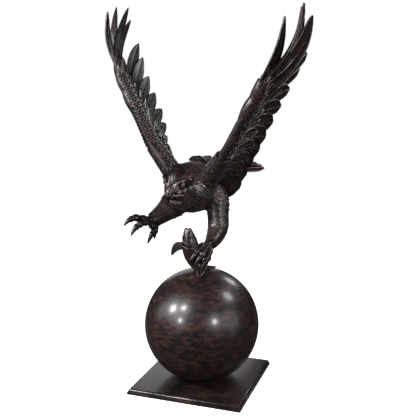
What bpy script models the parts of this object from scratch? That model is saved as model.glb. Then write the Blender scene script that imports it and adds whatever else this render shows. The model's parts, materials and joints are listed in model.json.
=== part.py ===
"""Cast aluminium statue of an eagle landing with a fish, on a ball on a square plinth.

Metres, +Z up. The origin is the middle of the plinth's underside, and the plinth's
front faces -Y. The eagle flies towards -Y, turned a little to -X.
"""

import math

import bmesh
import bpy
from mathutils import Matrix, Vector

# Ball, and the plinth that is as wide as it
BALL_DIAMETER = 0.460
BALL_FLAT_DEPTH = 0.0130
BALL_SEGMENTS = 28
BALL_RINGS = 16
SEAT_GAP = 0.0003
PLINTH_BEYOND_BALL = 0.0
PLINTH_SIDE = BALL_DIAMETER + 2 * PLINTH_BEYOND_BALL
PLINTH_THICKNESS = 0.022
PLINTH_SKIRT = 0.009
PLINTH_STEP = 0.0035
PLINTH_ROUND = 0.009
ROUND_STEPS = 4

# The eagle: its height from the top of the ball to its highest feather, and how it is turned
EAGLE_HEIGHT = 1.035
DRAWN_HEIGHT = 1.035
EAGLE_TURN = math.radians(-14.7)
EAGLE_LEAN = math.radians(4.0)
SHOULDERS_FROM_BALL_TOP = Vector((-0.098, 0.092, 0.373))

# Vanes: stations along the quill, and half widths there as shares of the feather's
FEATHER_STATIONS = (0.0, 0.35, 0.68, 0.90, 1.0)
FEATHER_OUTLINE = (0.52, 0.92, 0.98, 0.56, 0.0)
FINGER_OUTLINE = (0.80, 1.0, 0.86, 0.48, 0.0)
COVERT_STATIONS = (0.10, 0.74, 1.0)
COVERT_OUTLINE = (0.62, 1.0, 0.0)
TAIL_STATIONS = (0.0, 0.50, 0.86, 1.0)
TAIL_OUTLINE = (0.50, 0.84, 0.96, 0.0)
FIN_OUTLINE = (0.9, 1.0, 0.75, 0.4, 0.0)
TIP_THINNING = 0.45

# Wings: the left wing's joints, measured from between the shoulders at DRAWN_HEIGHT
ARM_ROOT = Vector((0.048, 0.052, -0.066))
SHOULDER = Vector((0.088, 0.036, -0.020))
ELBOW = Vector((0.182, 0.008, 0.096))
WRIST = Vector((0.328, -0.024, 0.350))
HAND_END = Vector((0.372, -0.046, 0.455))
ARM_RADII = (0.050, 0.046, 0.037, 0.036, 0.028, 0.011)
ARM_SIDES = 8
FINGER_TIPS = (
    Vector((0.411, -0.038, 0.617)),
    Vector((0.434, 0.042, 0.648)),
    Vector((0.415, 0.097, 0.658)),
    Vector((0.437, 0.140, 0.616)),
)
TRAILING_EDGE = (
    Vector((0.409, 0.165, 0.497)),
    Vector((0.338, 0.166, 0.340)),
    Vector((0.262, 0.181, 0.188)),
    Vector((0.214, 0.160, 0.060)),
    Vector((0.128, 0.150, -0.098)),
)
FAN_DIFFERENCE = 0.022
TRAILING_FEATHERS = 10
FIRST_ROOT_SHARE = 0.98
LAST_ROOT_SHARE = 0.06
FINGER_ROOT_STEP = 0.040
FEATHER_ROOT_STEP = 0.070
FINGER_WIDTH = 0.060
SLENDER_WIDTH = 0.074
FEATHER_WIDTH = 0.090
FEATHER_THICKNESS = 0.0085
FEATHER_BOW = 0.10
FINGER_BOW = -0.03
LEADING_SWEEP = -0.060
FINGER_SWEEP = -0.120
SWEEP_FADE = 4
FEATHER_CAMBER = 0.03
SHINGLE_TILT = math.radians(9)
COVERT_REACH = 0.50
COVERT_WIDTH_SHARE = 0.76
COVERT_LIFT = 0.0075

# Tail fan
TAIL_FEATHERS = 9
TAIL_ROOT = Vector((0.0, 0.185, -0.030))
TAIL_LENGTH = 0.228
TAIL_SPREAD = math.radians(112)
TAIL_RISE = math.radians(11.5)
TAIL_FEATHER_WIDTH = 0.062
TAIL_STEP_DOWN = 0.0022
TAIL_CAMBER = 0.04
TAIL_COVERTS = 5
TAIL_COVERT_LENGTH = 0.105
TAIL_COVERT_SPREAD = math.radians(84)
TAIL_COVERT_RAISE = 0.011

# Body, neck and head
BODY_SIDES = 14
BODY_STATIONS = (
    # back, height of axis, half width, half height above, half height below
    (0.235, -0.012, 0.034, 0.012, 0.014),
    (0.205, -0.026, 0.058, 0.030, 0.034),
    (0.165, -0.045, 0.080, 0.056, 0.066),
    (0.115, -0.062, 0.098, 0.080, 0.090),
    (0.060, -0.068, 0.106, 0.090, 0.098),
    (0.010, -0.062, 0.104, 0.086, 0.092),
    (-0.028, -0.050, 0.086, 0.074, 0.076),
    (-0.052, -0.040, 0.062, 0.058, 0.058),
)
BODY_END_DOME = 0.02
HEAD_CENTRE = Vector((-0.006, -0.058, -0.038))
HEAD_TURN = math.radians(8)
HEAD_NOD = math.radians(21)
HEAD_STATIONS = (
    # forward, raise, half width, half height above, half height below
    (-0.050, 0.004, 0.048, 0.046, 0.050),
    (-0.022, 0.005, 0.055, 0.052, 0.058),
    (0.004, 0.004, 0.054, 0.050, 0.057),
    (0.024, 0.001, 0.045, 0.041, 0.048),
    (0.040, -0.004, 0.031, 0.029, 0.034),
)
SKULL_SIDES = 12
SKULL_FRONT = (0.046, -0.006)
BEAK_PATH = (
    # forward, raise, half width, half depth; the hook ends in a point
    (0.018, -0.008, 0.028, 0.026),
    (0.042, -0.006, 0.0235, 0.023),
    (0.060, -0.011, 0.0180, 0.0185),
    (0.073, -0.025, 0.0125, 0.0135),
    (0.078, -0.043, 0.0070, 0.0080),
    (0.074, -0.062, 0.0, 0.0),
)
BEAK_SIDES = 8
JAW_STATIONS = (
    (0.014, -0.030, 0.021, 0.010, 0.013),
    (0.034, -0.032, 0.016, 0.006, 0.009),
    (0.050, -0.034, 0.010, 0.004, 0.006),
)
JAW_TIP = (0.060, -0.035)
LEFT_BROW = (Vector((0.037, -0.010, 0.016)), Vector((0.036, -0.032, 0.018)), Vector((0.014, -0.046, 0.012)))
BROW_RADIUS = 0.0085
BROW_SIDES = 6

# Legs and feet, measured from between the shoulders
LEFT_LEG = (
    (Vector((0.056, 0.088, -0.066)), 0.050),
    (Vector((0.088, 0.104, -0.124)), 0.049),
    (Vector((0.100, 0.102, -0.178)), 0.039),
    (Vector((0.108, 0.098, -0.226)), 0.043),
    (Vector((0.118, 0.060, -0.262)), 0.034),
    (Vector((0.128, 0.014, -0.280)), 0.020),
    (Vector((0.144, -0.028, -0.276)), 0.017),
)
RIGHT_LEG = (
    (Vector((-0.052, 0.086, -0.090)), 0.050),
    (Vector((-0.074, 0.034, -0.148)), 0.056),
    (Vector((-0.084, -0.014, -0.176)), 0.039),
    (Vector((-0.088, -0.060, -0.194)), 0.032),
    (Vector((-0.090, -0.086, -0.200)), 0.027),
    (Vector((-0.090, -0.112, -0.200)), 0.019),
)
LEG_SIDES = 8
TOE_RADIUS = 0.0130
TOE_SIDES = 5
KNUCKLE_SHARES = (0.92, 1.12)
CLAW_LENGTH = 0.037
CLAW_BEND = 1.35
CLAW_STEPS = 4
CLAW_ROOT_SHARE = 0.72
CLAW_TIP_SHARE = 0.25
CLAW_SINK_SHARE = 0.6
RIGHT_PALM = Vector((-0.090, -0.112, -0.200))
REACHING_TOES = (
    (Vector((-0.096, -0.150, -0.188)), Vector((-0.101, -0.186, -0.182)), Vector((-0.102, -0.214, -0.186))),
    (Vector((-0.080, -0.150, -0.200)), Vector((-0.072, -0.184, -0.204)), Vector((-0.068, -0.206, -0.210))),
    (Vector((-0.086, -0.102, -0.222)), Vector((-0.081, -0.096, -0.240)), Vector((-0.078, -0.112, -0.250))),
    (Vector((-0.108, -0.100, -0.218)), Vector((-0.112, -0.084, -0.238)), Vector((-0.112, -0.094, -0.248))),
)

# The gripping foot, measured from the top of the ball
LEFT_PALM = Vector((0.016, 0.030, 0.088))
GRIPPING_TOES = (
    (Vector((0.000, 0.000, 0.086)), Vector((-0.010, -0.028, 0.074)), Vector((-0.014, -0.040, 0.066))),
    (Vector((0.018, -0.004, 0.082)), Vector((0.014, -0.030, 0.066)), Vector((0.008, -0.042, 0.056))),
    (Vector((0.030, 0.006, 0.072)), Vector((0.030, -0.016, 0.050)), Vector((0.024, -0.030, 0.034))),
    (Vector((-0.012, 0.044, 0.082)), Vector((-0.040, 0.034, 0.068)), Vector((-0.052, 0.020, 0.060))),
)
GRIP_CURL = Vector((-0.55, 0.10, -1.0)).normalized()
REACH_CURL = Vector((0.0, -0.25, -1.0)).normalized()

# Fish, measured from the top of the ball
FISH_SPINE = (
    (Vector((-0.047, -0.026, 0.162)), 0.010, 0.013),
    (Vector((-0.045, -0.025, 0.142)), 0.023, 0.022),
    (Vector((-0.042, -0.022, 0.112)), 0.034, 0.029),
    (Vector((-0.038, -0.020, 0.080)), 0.037, 0.032),
    (Vector((-0.029, -0.018, 0.048)), 0.034, 0.030),
    (Vector((-0.012, -0.018, 0.020)), 0.027, 0.024),
    (Vector((0.010, -0.020, 0.006)), 0.018, 0.016),
    (Vector((0.030, -0.022, 0.003)), 0.011, 0.012),
)
FISH_SIDES = 8
FISH_SIDEWAYS = Vector((0.95, 0.30, 0.10)).normalized()
FIN_THICKNESS = 0.006
SIDE_FIN_FACE = Vector((0.20, -0.95, 0.25)).normalized()
TAIL_FIN_FACE = Vector((0.0, 0.1, 1.0)).normalized()
FINS = (
    # root, tip, width, bow, normal
    (Vector((-0.060, -0.022, 0.096)), Vector((-0.122, -0.020, 0.048)), 0.038, 0.20, SIDE_FIN_FACE),
    (Vector((-0.018, 0.004, 0.092)), Vector((-0.008, 0.052, 0.052)), 0.038, -0.20, SIDE_FIN_FACE),
    (Vector((0.016, -0.016, 0.006)), Vector((0.070, -0.010, 0.013)), 0.026, 0.10, TAIL_FIN_FACE),
    (Vector((0.016, -0.020, 0.004)), Vector((0.032, -0.066, -0.004)), 0.026, -0.10, TAIL_FIN_FACE),
)

# Breast and thigh feathers
BREAST_ROWS = (-0.022, 0.008, 0.038, 0.068)
BREAST_FROM = math.radians(-72)
BREAST_TO = math.radians(252)
BREAST_COUNT = 8
THIGH_ROWS = 3
THIGH_COUNT = 4
THIGH_REACH = 0.76
SCALE_LENGTH = 0.044
SCALE_WIDTH = 0.042
SCALE_THICKNESS = 0.011
SCALE_LIFT = 0.004
SCALE_CAMBER = 0.06
THIGH_SKIN_SHARE = 0.92

SCALE = EAGLE_HEIGHT / DRAWN_HEIGHT
STAND_HEIGHT = PLINTH_THICKNESS + BALL_DIAMETER - BALL_FLAT_DEPTH


def clear_scene():
    for item in list(bpy.data.objects):
        bpy.data.objects.remove(item, do_unlink=True)


def new_collection(name):
    group = bpy.data.collections.new(name)
    bpy.context.scene.collection.children.link(group)
    return group


def material(name, colour, roughness, metallic):
    finish = bpy.data.materials.new(name)
    finish.use_nodes = True
    shader = finish.node_tree.nodes["Principled BSDF"]
    shader.inputs["Base Color"].default_value = (*colour, 1.0)
    shader.inputs["Roughness"].default_value = roughness
    shader.inputs["Metallic"].default_value = metallic
    return finish


def mesh_object(name, bm, group):
    bmesh.ops.recalc_face_normals(bm, faces=bm.faces)
    mesh = bpy.data.meshes.new(name)
    bm.to_mesh(mesh)
    bm.free()
    item = bpy.data.objects.new(name, mesh)
    group.objects.link(item)
    return item


def from_ball_top(point):
    """A drawn point measured from the top of the ball, in the part's frame."""
    return Vector((0.0, 0.0, STAND_HEIGHT)) + SCALE * point


def eagle_matrix():
    """The eagle's own frame: +X its left, -Y its flight, its origin between the shoulders."""
    turn = Matrix.Rotation(EAGLE_TURN, 4, "Z") @ Matrix.Rotation(EAGLE_LEAN, 4, "Y")
    place = Matrix.Translation(from_ball_top(SHOULDERS_FROM_BALL_TOP))
    return place @ turn @ Matrix.Scale(SCALE, 4)


def smooth_curve(points, count):
    """Evenly spaced stations on a curve through the points."""
    stations = []
    last = len(points) - 1
    for step in range(count):
        place = step / (count - 1) * last
        index = min(int(place), last - 1)
        part = place - index
        before = points[max(index - 1, 0)]
        start = points[index]
        end = points[index + 1]
        after = points[min(index + 2, last)]
        stations.append(
            0.5 * (2 * start + (end - before) * part
                   + (2 * before - 5 * start + 4 * end - after) * part ** 2
                   + (3 * start - before - 3 * end + after) * part ** 3))
    return stations


def loft(name, rings, group, start=None, end=None):
    """A closed body over rings of equal counts, each end brought to a point."""
    bm = bmesh.new()
    rows = [[bm.verts.new(point) for point in ring] for ring in rings]
    sides = len(rows[0])
    for lower, upper in zip(rows, rows[1:]):
        for i in range(sides):
            j = (i + 1) % sides
            bm.faces.new((lower[i], lower[j], upper[j], upper[i]))
    for row, point in ((rows[0], start), (rows[-1], end)):
        middle = sum((vert.co for vert in row), Vector()) / sides
        tip = bm.verts.new(point if point is not None else middle)
        for i in range(sides):
            bm.faces.new((row[i], row[(i + 1) % sides], tip))
    return mesh_object(name, bm, group)


def sweep(name, path, half_widths, half_depths, across, group, sides=4, points=(True, True)):
    """A loft along a path. Each section is an oval, its width lying along across.
    Where points is true, that end of the path closes as a point."""
    rings = []
    ends = len(path)
    first = 1 if points[0] else 0
    last = ends - 1 if points[1] else ends
    for index in range(first, last):
        tangent = (path[min(index + 1, ends - 1)] - path[max(index - 1, 0)]).normalized()
        side = (across - tangent * across.dot(tangent)).normalized()
        rise = tangent.cross(side)
        ring = []
        for corner in range(sides):
            angle = 2 * math.pi * corner / sides
            ring.append(path[index] + side * math.cos(angle) * half_widths[index]
                        + rise * math.sin(angle) * half_depths[index])
        rings.append(ring)
    start = path[0] if points[0] else None
    end = path[-1] if points[1] else None
    return loft(name, rings, group, start, end)


def feather_path(root, tip, normal, bow, camber, stations):
    """Points from root to tip, bowed in the vane's own plane and cambered out of it."""
    run = tip - root
    inward = run.cross(normal).normalized()
    length = run.length
    return [root + run * t + (inward * bow + normal * camber) * length * math.sin(math.pi * t)
            for t in stations]


def feather(name, path, outline, width, normal, tilt, group, thickness=FEATHER_THICKNESS):
    """One vane: broad, thin, ridged down its middle and turned a little like a shingle."""
    run = path[-1] - path[0]
    across = Matrix.Rotation(tilt, 3, run) @ run.cross(normal).normalized()
    half_widths = [width / 2 * share for share in outline]
    half_depths = [thickness / 2 * (1 - TIP_THINNING * i / (len(path) - 1)) for i in range(len(path))]
    return sweep(name, path, half_widths, half_depths, across, group, 4, (False, True))


def arm_point(share, joints):
    """The point a share of the way along the shoulder, elbow, wrist and hand."""
    lengths = [(b - a).length for a, b in zip(joints, joints[1:])]
    left = share * sum(lengths)
    for a, b, length in zip(joints, joints[1:], lengths):
        if left <= length:
            return a.lerp(b, left / length)
        left -= length
    return joints[-1]


def wing_feathers(side):
    """Root, tip and vane normal of each flight feather of the left wing, from the
    leading finger to the innermost. The normals point to the upper face."""
    joints = (SHOULDER, ELBOW, WRIST, HAND_END)
    tips = [tip.copy() for tip in FINGER_TIPS] + smooth_curve(TRAILING_EDGE, TRAILING_FEATHERS)
    fingers = len(FINGER_TIPS)
    for index in range(1, fingers):
        tips[index].z += side * FAN_DIFFERENCE * index / (fingers - 1)
    feathers = []
    for index, tip in enumerate(tips):
        if index < fingers:
            share = FIRST_ROOT_SHARE - FINGER_ROOT_STEP * index
        else:
            share = FIRST_ROOT_SHARE - FINGER_ROOT_STEP * fingers - FEATHER_ROOT_STEP * (index - fingers)
        root = arm_point(max(share, LAST_ROOT_SHARE), joints)
        after = tips[min(index + 1, len(tips) - 1)]
        before = tips[max(index - 1, 0)]
        normal = (tip - root).cross(after - before).normalized()
        feathers.append((root, tip, normal))
    return feathers


def mirrored(point, side):
    return Vector((point.x * side, point.y, point.z))


def build_wing(side, frame, group):
    """One wing: the arm, its flight feathers, and a row of coverts on either face."""
    label = "left" if side > 0 else "right"
    joints = [ARM_ROOT, SHOULDER, ELBOW, (ELBOW + WRIST) / 2, WRIST, HAND_END]
    arm = [frame @ mirrored(point, side) for point in joints]
    radii = [SCALE * radius for radius in ARM_RADII]
    forward = frame.to_3x3() @ Vector((0.0, 1.0, 0.0))
    sweep(f"{label}_arm", arm, radii, radii, forward, group, ARM_SIDES, (False, False))
    places = wing_feathers(side)
    turn = frame.to_3x3().normalized()
    fingers = len(FINGER_TIPS)
    for index, (root, tip, normal) in enumerate(places):
        root = frame @ mirrored(root, side)
        tip = frame @ mirrored(tip, side)
        normal = turn @ mirrored(normal, side)
        finger = index < fingers
        slender = index <= fingers
        bow = (FINGER_BOW if finger else FEATHER_BOW) * side
        outline = FINGER_OUTLINE if slender else FEATHER_OUTLINE
        width = SCALE * (FINGER_WIDTH if finger else SLENDER_WIDTH if slender else FEATHER_WIDTH)
        sweep_share = min(1.0, max(0.0, 1 - (index - fingers + 1) / SWEEP_FADE))
        camber = FEATHER_CAMBER + (FINGER_SWEEP - FEATHER_CAMBER) * sweep_share
        if index == 0:
            camber = LEADING_SWEEP
        path = feather_path(root, tip, normal, bow, camber, FEATHER_STATIONS)
        feather(f"{label}_flight_{index}", path, outline, width, normal,
                SHINGLE_TILT * side, group, SCALE * FEATHER_THICKNESS)
        if finger:
            continue
        for face in (1, -1):
            lift = normal * face * COVERT_LIFT * SCALE
            stations = [COVERT_REACH * t for t in COVERT_STATIONS]
            path = feather_path(root, tip, normal, bow, camber, stations)
            path = [point + lift for point in path]
            feather(f"{label}_covert_{index}_{face}", path, COVERT_OUTLINE, width * COVERT_WIDTH_SHARE,
                    normal, SHINGLE_TILT * side, group, SCALE * FEATHER_THICKNESS)


def tail_rank(name, count, length, spread, raised, frame, group):
    """Feathers fanned about the tail's root, the middle one on top."""
    rise = frame.to_3x3().normalized() @ Vector((0.0, -math.sin(TAIL_RISE), math.cos(TAIL_RISE)))
    for index in range(count):
        offset = index - (count - 1) / 2
        angle = offset / (count - 1) * spread
        root = TAIL_ROOT + Vector((0.0, 0.0, raised - TAIL_STEP_DOWN * abs(offset)))
        aim = Vector((math.sin(angle), math.cos(angle), math.tan(TAIL_RISE)))
        path = feather_path(frame @ root, frame @ (root + aim * length), rise, 0.0, TAIL_CAMBER,
                            TAIL_STATIONS)
        tilt = SHINGLE_TILT * (0 if offset == 0 else math.copysign(1, offset))
        feather(f"{name}_{index}", path, TAIL_OUTLINE, SCALE * TAIL_FEATHER_WIDTH, rise, tilt,
                group, SCALE * FEATHER_THICKNESS)


def build_tail(frame, group):
    tail_rank("tail", TAIL_FEATHERS, TAIL_LENGTH, TAIL_SPREAD, 0.0, frame, group)
    tail_rank("tail_covert", TAIL_COVERTS, TAIL_COVERT_LENGTH, TAIL_COVERT_SPREAD,
              TAIL_COVERT_RAISE, frame, group)


def oval_ring(centre, wide, up, half_width, above, below, sides):
    ring = []
    for corner in range(sides):
        angle = 2 * math.pi * corner / sides
        rise = math.sin(angle)
        half = above if rise > 0 else below
        ring.append(centre + wide * math.cos(angle) * half_width + up * rise * half)
    return ring


def build_body(frame, group):
    wide = Vector((1.0, 0.0, 0.0))
    up = Vector((0.0, 0.0, 1.0))
    rings = []
    for back, height, half_width, above, below in BODY_STATIONS:
        ring = oval_ring(Vector((0.0, back, height)), wide, up, half_width, above, below, BODY_SIDES)
        rings.append([frame @ point for point in ring])
    start = frame @ Vector((0.0, BODY_STATIONS[0][0] + BODY_END_DOME, BODY_STATIONS[0][1]))
    end = frame @ Vector((0.0, BODY_STATIONS[-1][0] - BODY_END_DOME, BODY_STATIONS[-1][1]))
    return loft("body", rings, group, start, end)


def body_station(back):
    """The body's section at a distance behind the shoulders."""
    for nearer, farther in zip(BODY_STATIONS[1:], BODY_STATIONS):
        if nearer[0] <= back <= farther[0]:
            share = (back - nearer[0]) / (farther[0] - nearer[0])
            return [a + (b - a) * share for a, b in zip(nearer, farther)]
    return list(BODY_STATIONS[-1])


def body_point(back, angle):
    """A point of the body's skin, an angle round from its left side."""
    _, height, half_width, above, below = body_station(back)
    half = above if math.sin(angle) > 0 else below
    return Vector((half_width * math.cos(angle), back, height + half * math.sin(angle)))


def plumage_scale(name, root, tip, outward, group):
    """A small lying feather: its root is sunk in the skin and its tip stands off a little."""
    root = root - outward * SCALE * SCALE_LIFT
    tip = tip + outward * SCALE * SCALE_LIFT
    path = feather_path(root, tip, outward, 0.0, SCALE_CAMBER, COVERT_STATIONS)
    feather(name, path, COVERT_OUTLINE, SCALE * SCALE_WIDTH, outward, 0.0, group,
            SCALE * SCALE_THICKNESS)


def build_breast(frame, group):
    """Rows of lying feathers around the shoulders and breast, each row set half a step on."""
    for row, back in enumerate(BREAST_ROWS):
        for index in range(BREAST_COUNT):
            share = (index + 0.5 * (row % 2)) / BREAST_COUNT
            angle = BREAST_FROM + (BREAST_TO - BREAST_FROM) * share
            root = frame @ body_point(back, angle)
            tip = frame @ body_point(back + SCALE_LENGTH, angle)
            beside = frame @ body_point(back, angle + 0.1)
            outward = (beside - root).cross(tip - root).normalized()
            plumage_scale(f"breast_{row}_{index}", root, tip, outward, group)


def build_thighs(frame, group):
    """Rows of lying feathers round each thigh."""
    turn = frame.to_3x3().normalized()
    for label, stations in (("left", LEFT_LEG), ("right", RIGHT_LEG)):
        for row in range(THIGH_ROWS):
            start, start_radius = stations[row + 1]
            end, end_radius = stations[row + 2]
            aim = (turn @ (end - start)).normalized()
            outer = aim.cross(turn @ Vector((0.0, -1.0, 0.3))).normalized()
            for index in range(THIGH_COUNT):
                angle = 2 * math.pi * (index + 0.5 * (row % 2)) / THIGH_COUNT
                outward = outer * math.cos(angle) + outer.cross(aim) * math.sin(angle)
                root = frame @ start + outward * SCALE * start_radius * THIGH_SKIN_SHARE
                tip = frame @ start.lerp(end, THIGH_REACH) + outward * SCALE * end_radius * THIGH_SKIN_SHARE
                plumage_scale(f"{label}_thigh_{row}_{index}", root, tip, outward, group)


def head_matrix(frame):
    turn = Matrix.Rotation(HEAD_TURN, 4, "Z") @ Matrix.Rotation(HEAD_NOD, 4, "X")
    return frame @ Matrix.Translation(HEAD_CENTRE) @ turn


def build_head(frame, group):
    """Skull, hooked beak, lower jaw and brows, in the head's own frame: -Y is forward."""
    head = head_matrix(frame)
    wide = Vector((1.0, 0.0, 0.0))
    up = Vector((0.0, 0.0, 1.0))
    across = head.to_3x3().normalized() @ wide

    def ovals(name, table, sides, front):
        rings = []
        for forward, height, half_width, above, below in table:
            ring = oval_ring(Vector((0.0, -forward, height)), wide, up, half_width, above, below, sides)
            rings.append([head @ point for point in ring])
        loft(name, rings, group, None, head @ Vector((0.0, -front[0], front[1])))

    ovals("skull", HEAD_STATIONS, SKULL_SIDES, SKULL_FRONT)
    ovals("jaw", JAW_STATIONS, BEAK_SIDES, JAW_TIP)
    path = [head @ Vector((0.0, -forward, height)) for forward, height, wide_half, deep_half in BEAK_PATH]
    wides = [SCALE * station[2] for station in BEAK_PATH]
    deeps = [SCALE * station[3] for station in BEAK_PATH]
    sweep("beak", path, wides, deeps, across, group, BEAK_SIDES, (False, True))
    for side in (1, -1):
        ridge = [head @ mirrored(point, side) for point in LEFT_BROW]
        radii = [0.0, SCALE * BROW_RADIUS, 0.0]
        sweep(f"brow_{side}", ridge, radii, radii, up, group, BROW_SIDES)


def claw(name, knuckle, aim, curl, radius, group):
    """A hooked talon that starts along aim and bends towards curl."""
    reach = SCALE * CLAW_LENGTH / CLAW_BEND
    path = []
    radii = []
    for step in range(CLAW_STEPS + 1):
        share = step / CLAW_STEPS
        bend = CLAW_BEND * share
        path.append(knuckle + aim * reach * math.sin(bend) + curl * reach * (1 - math.cos(bend)))
        radii.append(radius * (1 + (CLAW_TIP_SHARE - 1) * share))
    sweep(name, path, radii, radii, aim.cross(curl).normalized(), group, TOE_SIDES, (False, True))


def toe(name, points, radius, curl, group):
    """A toe with a swollen knuckle, and its talon."""
    radii = [radius * KNUCKLE_SHARES[i % 2] for i in range(len(points))]
    across = (points[-1] - points[0]).cross(curl).normalized()
    sweep(name, points, radii, radii, across, group, TOE_SIDES, (False, False))
    aim = (points[-1] - points[-2]).normalized()
    start = points[-1] - aim * radius * CLAW_SINK_SHARE
    claw(f"{name}_claw", start, aim, curl, radius * CLAW_ROOT_SHARE, group)


def build_legs(frame, group):
    wide = frame.to_3x3().normalized() @ Vector((1.0, 0.0, 0.0))
    for label, stations in (("left", LEFT_LEG), ("right", RIGHT_LEG)):
        path = [frame @ point for point, radius in stations]
        radii = [SCALE * radius for point, radius in stations]
        sweep(f"{label}_leg", path, radii, radii, wide, group, LEG_SIDES, (False, False))


def build_feet(frame, group):
    down = frame.to_3x3().normalized() @ REACH_CURL
    radius = SCALE * TOE_RADIUS
    for index, points in enumerate(REACHING_TOES):
        path = [frame @ point for point in (RIGHT_PALM, *points)]
        toe(f"right_toe_{index}", path, radius, down, group)
    for index, points in enumerate(GRIPPING_TOES):
        path = [from_ball_top(point) for point in (LEFT_PALM, *points)]
        toe(f"left_toe_{index}", path, radius, GRIP_CURL, group)


def build_fish(group):
    path = [from_ball_top(point) for point, wide, deep in FISH_SPINE]
    wides = [SCALE * wide for point, wide, deep in FISH_SPINE]
    deeps = [SCALE * deep for point, wide, deep in FISH_SPINE]
    sweep("fish_body", path, wides, deeps, FISH_SIDEWAYS, group, FISH_SIDES, (False, False))
    for index, (root, tip, width, bow, normal) in enumerate(FINS):
        path = feather_path(from_ball_top(root), from_ball_top(tip), normal, bow, 0.0, FEATHER_STATIONS)
        feather(f"fish_fin_{index}", path, FIN_OUTLINE, SCALE * width, normal,
                0.0, group, SCALE * FIN_THICKNESS)


def cut(item, tool, name):
    change = item.modifiers.new(name, "BOOLEAN")
    change.operation = "DIFFERENCE"
    change.solver = "EXACT"
    change.object = tool


def build_eagle(parts, hidden):
    """The eagle and its fish are one casting, seated on the ball."""
    frame = eagle_matrix()
    pieces = new_collection("eagle forms")
    eagle = build_body(frame, parts)
    eagle.name = "eagle_with_fish"
    build_head(frame, pieces)
    build_breast(frame, pieces)
    build_legs(frame, pieces)
    build_thighs(frame, pieces)
    build_feet(frame, pieces)
    build_fish(pieces)
    build_tail(frame, pieces)
    for side in (1, -1):
        build_wing(side, frame, pieces)
    for item in pieces.objects:
        item.hide_render = True
        item.display_type = "WIRE"
    join = eagle.modifiers.new("forms joined", "BOOLEAN")
    join.operation = "UNION"
    join.solver = "EXACT"
    join.operand_type = "COLLECTION"
    join.collection = pieces
    room = ball_mesh("room_for_ball", BALL_DIAMETER / 2 + SEAT_GAP, hidden)
    room.hide_render = True
    room.display_type = "WIRE"
    cut(eagle, room, "seat on ball")
    eagle.data.materials.append(material("eagle_bronze_patina", (0.060, 0.036, 0.028), 0.38, 0.85))
    return eagle


def ball_mesh(name, radius, group):
    bm = bmesh.new()
    bmesh.ops.create_uvsphere(bm, u_segments=BALL_SEGMENTS, v_segments=BALL_RINGS, radius=radius)
    ball = mesh_object(name, bm, group)
    ball.location.z = PLINTH_THICKNESS - BALL_FLAT_DEPTH + BALL_DIAMETER / 2
    return ball


def build_ball(parts, hidden):
    """The ball stands on a small flat, where it is bolted through the plinth."""
    ball = ball_mesh("ball", BALL_DIAMETER / 2, parts)
    bm = bmesh.new()
    bmesh.ops.create_cube(bm, size=1.0)
    room = mesh_object("room_for_plinth", bm, hidden)
    room.scale = (PLINTH_SIDE, PLINTH_SIDE, PLINTH_THICKNESS)
    room.location.z = PLINTH_THICKNESS / 2 + SEAT_GAP
    room.hide_render = True
    room.display_type = "WIRE"
    cut(ball, room, "flat")
    ball.data.shade_smooth()
    ball.data.materials.append(material("ball_streaked_patina", (0.075, 0.034, 0.024), 0.30, 0.85))
    return ball


def build_plinth(parts):
    """A square plate with a skirt, a small step and a rounded upper edge."""
    half = PLINTH_SIDE / 2
    profile = [(half, 0.0), (half, PLINTH_SKIRT), (half - PLINTH_STEP, PLINTH_SKIRT)]
    round_height = PLINTH_THICKNESS - PLINTH_SKIRT
    for step in range(ROUND_STEPS + 1):
        angle = math.pi / 2 * step / ROUND_STEPS
        profile.append((half - PLINTH_STEP - PLINTH_ROUND * (1 - math.cos(angle)),
                        PLINTH_SKIRT + round_height * math.sin(angle)))
    rings = []
    for out, height in profile:
        corners = [(out, -out), (out, out), (-out, out), (-out, -out)]
        rings.append([Vector((x, y, height)) for x, y in corners])
    plinth = loft("plinth", rings, parts)
    plinth.data.materials.append(material("plinth_patina", (0.055, 0.034, 0.028), 0.28, 0.85))
    return plinth


def main():
    clear_scene()
    parts = new_collection("eagle_statue")
    hidden = new_collection("cutters")
    build_plinth(parts)
    build_ball(parts, hidden)
    build_eagle(parts, hidden)


main()
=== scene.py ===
# %% [markdown]
# # A cast eagle landing on a ball
# The real object is three aluminium castings: a square plinth, a large ball, and an eagle
# that grips a fish. All three are patinated dark brown and rubbed back to a reddish
# bronze where the relief stands proud. This lesson loads the measured solids first, so
# that every new piece is made at its true place and size.

# %% Load the measured solids
import json
import math
import random

import bmesh
import bpy
import numpy as np
from mathutils import Matrix, Vector
from mathutils.bvhtree import BVHTree

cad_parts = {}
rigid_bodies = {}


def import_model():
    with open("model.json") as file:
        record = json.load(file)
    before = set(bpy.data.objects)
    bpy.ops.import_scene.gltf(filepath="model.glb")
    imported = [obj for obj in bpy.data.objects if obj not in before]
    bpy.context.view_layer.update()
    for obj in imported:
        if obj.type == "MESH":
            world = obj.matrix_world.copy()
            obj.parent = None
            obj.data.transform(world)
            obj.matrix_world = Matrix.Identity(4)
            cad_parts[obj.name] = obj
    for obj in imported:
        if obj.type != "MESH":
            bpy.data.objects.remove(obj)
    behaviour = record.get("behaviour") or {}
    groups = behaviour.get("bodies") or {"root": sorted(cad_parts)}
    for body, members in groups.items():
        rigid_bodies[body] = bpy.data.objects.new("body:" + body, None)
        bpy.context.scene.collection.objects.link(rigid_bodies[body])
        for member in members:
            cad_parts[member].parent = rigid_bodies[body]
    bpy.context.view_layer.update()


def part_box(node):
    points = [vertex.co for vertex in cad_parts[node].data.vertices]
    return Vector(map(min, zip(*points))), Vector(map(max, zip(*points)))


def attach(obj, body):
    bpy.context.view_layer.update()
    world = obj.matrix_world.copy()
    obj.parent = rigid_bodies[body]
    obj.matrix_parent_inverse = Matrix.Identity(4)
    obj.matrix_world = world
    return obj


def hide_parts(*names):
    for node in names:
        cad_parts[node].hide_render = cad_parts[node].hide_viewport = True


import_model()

plinth_low, plinth_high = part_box("plinth")
ball_low, ball_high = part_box("ball")
eagle_low, eagle_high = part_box("eagle_with_fish")
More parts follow.
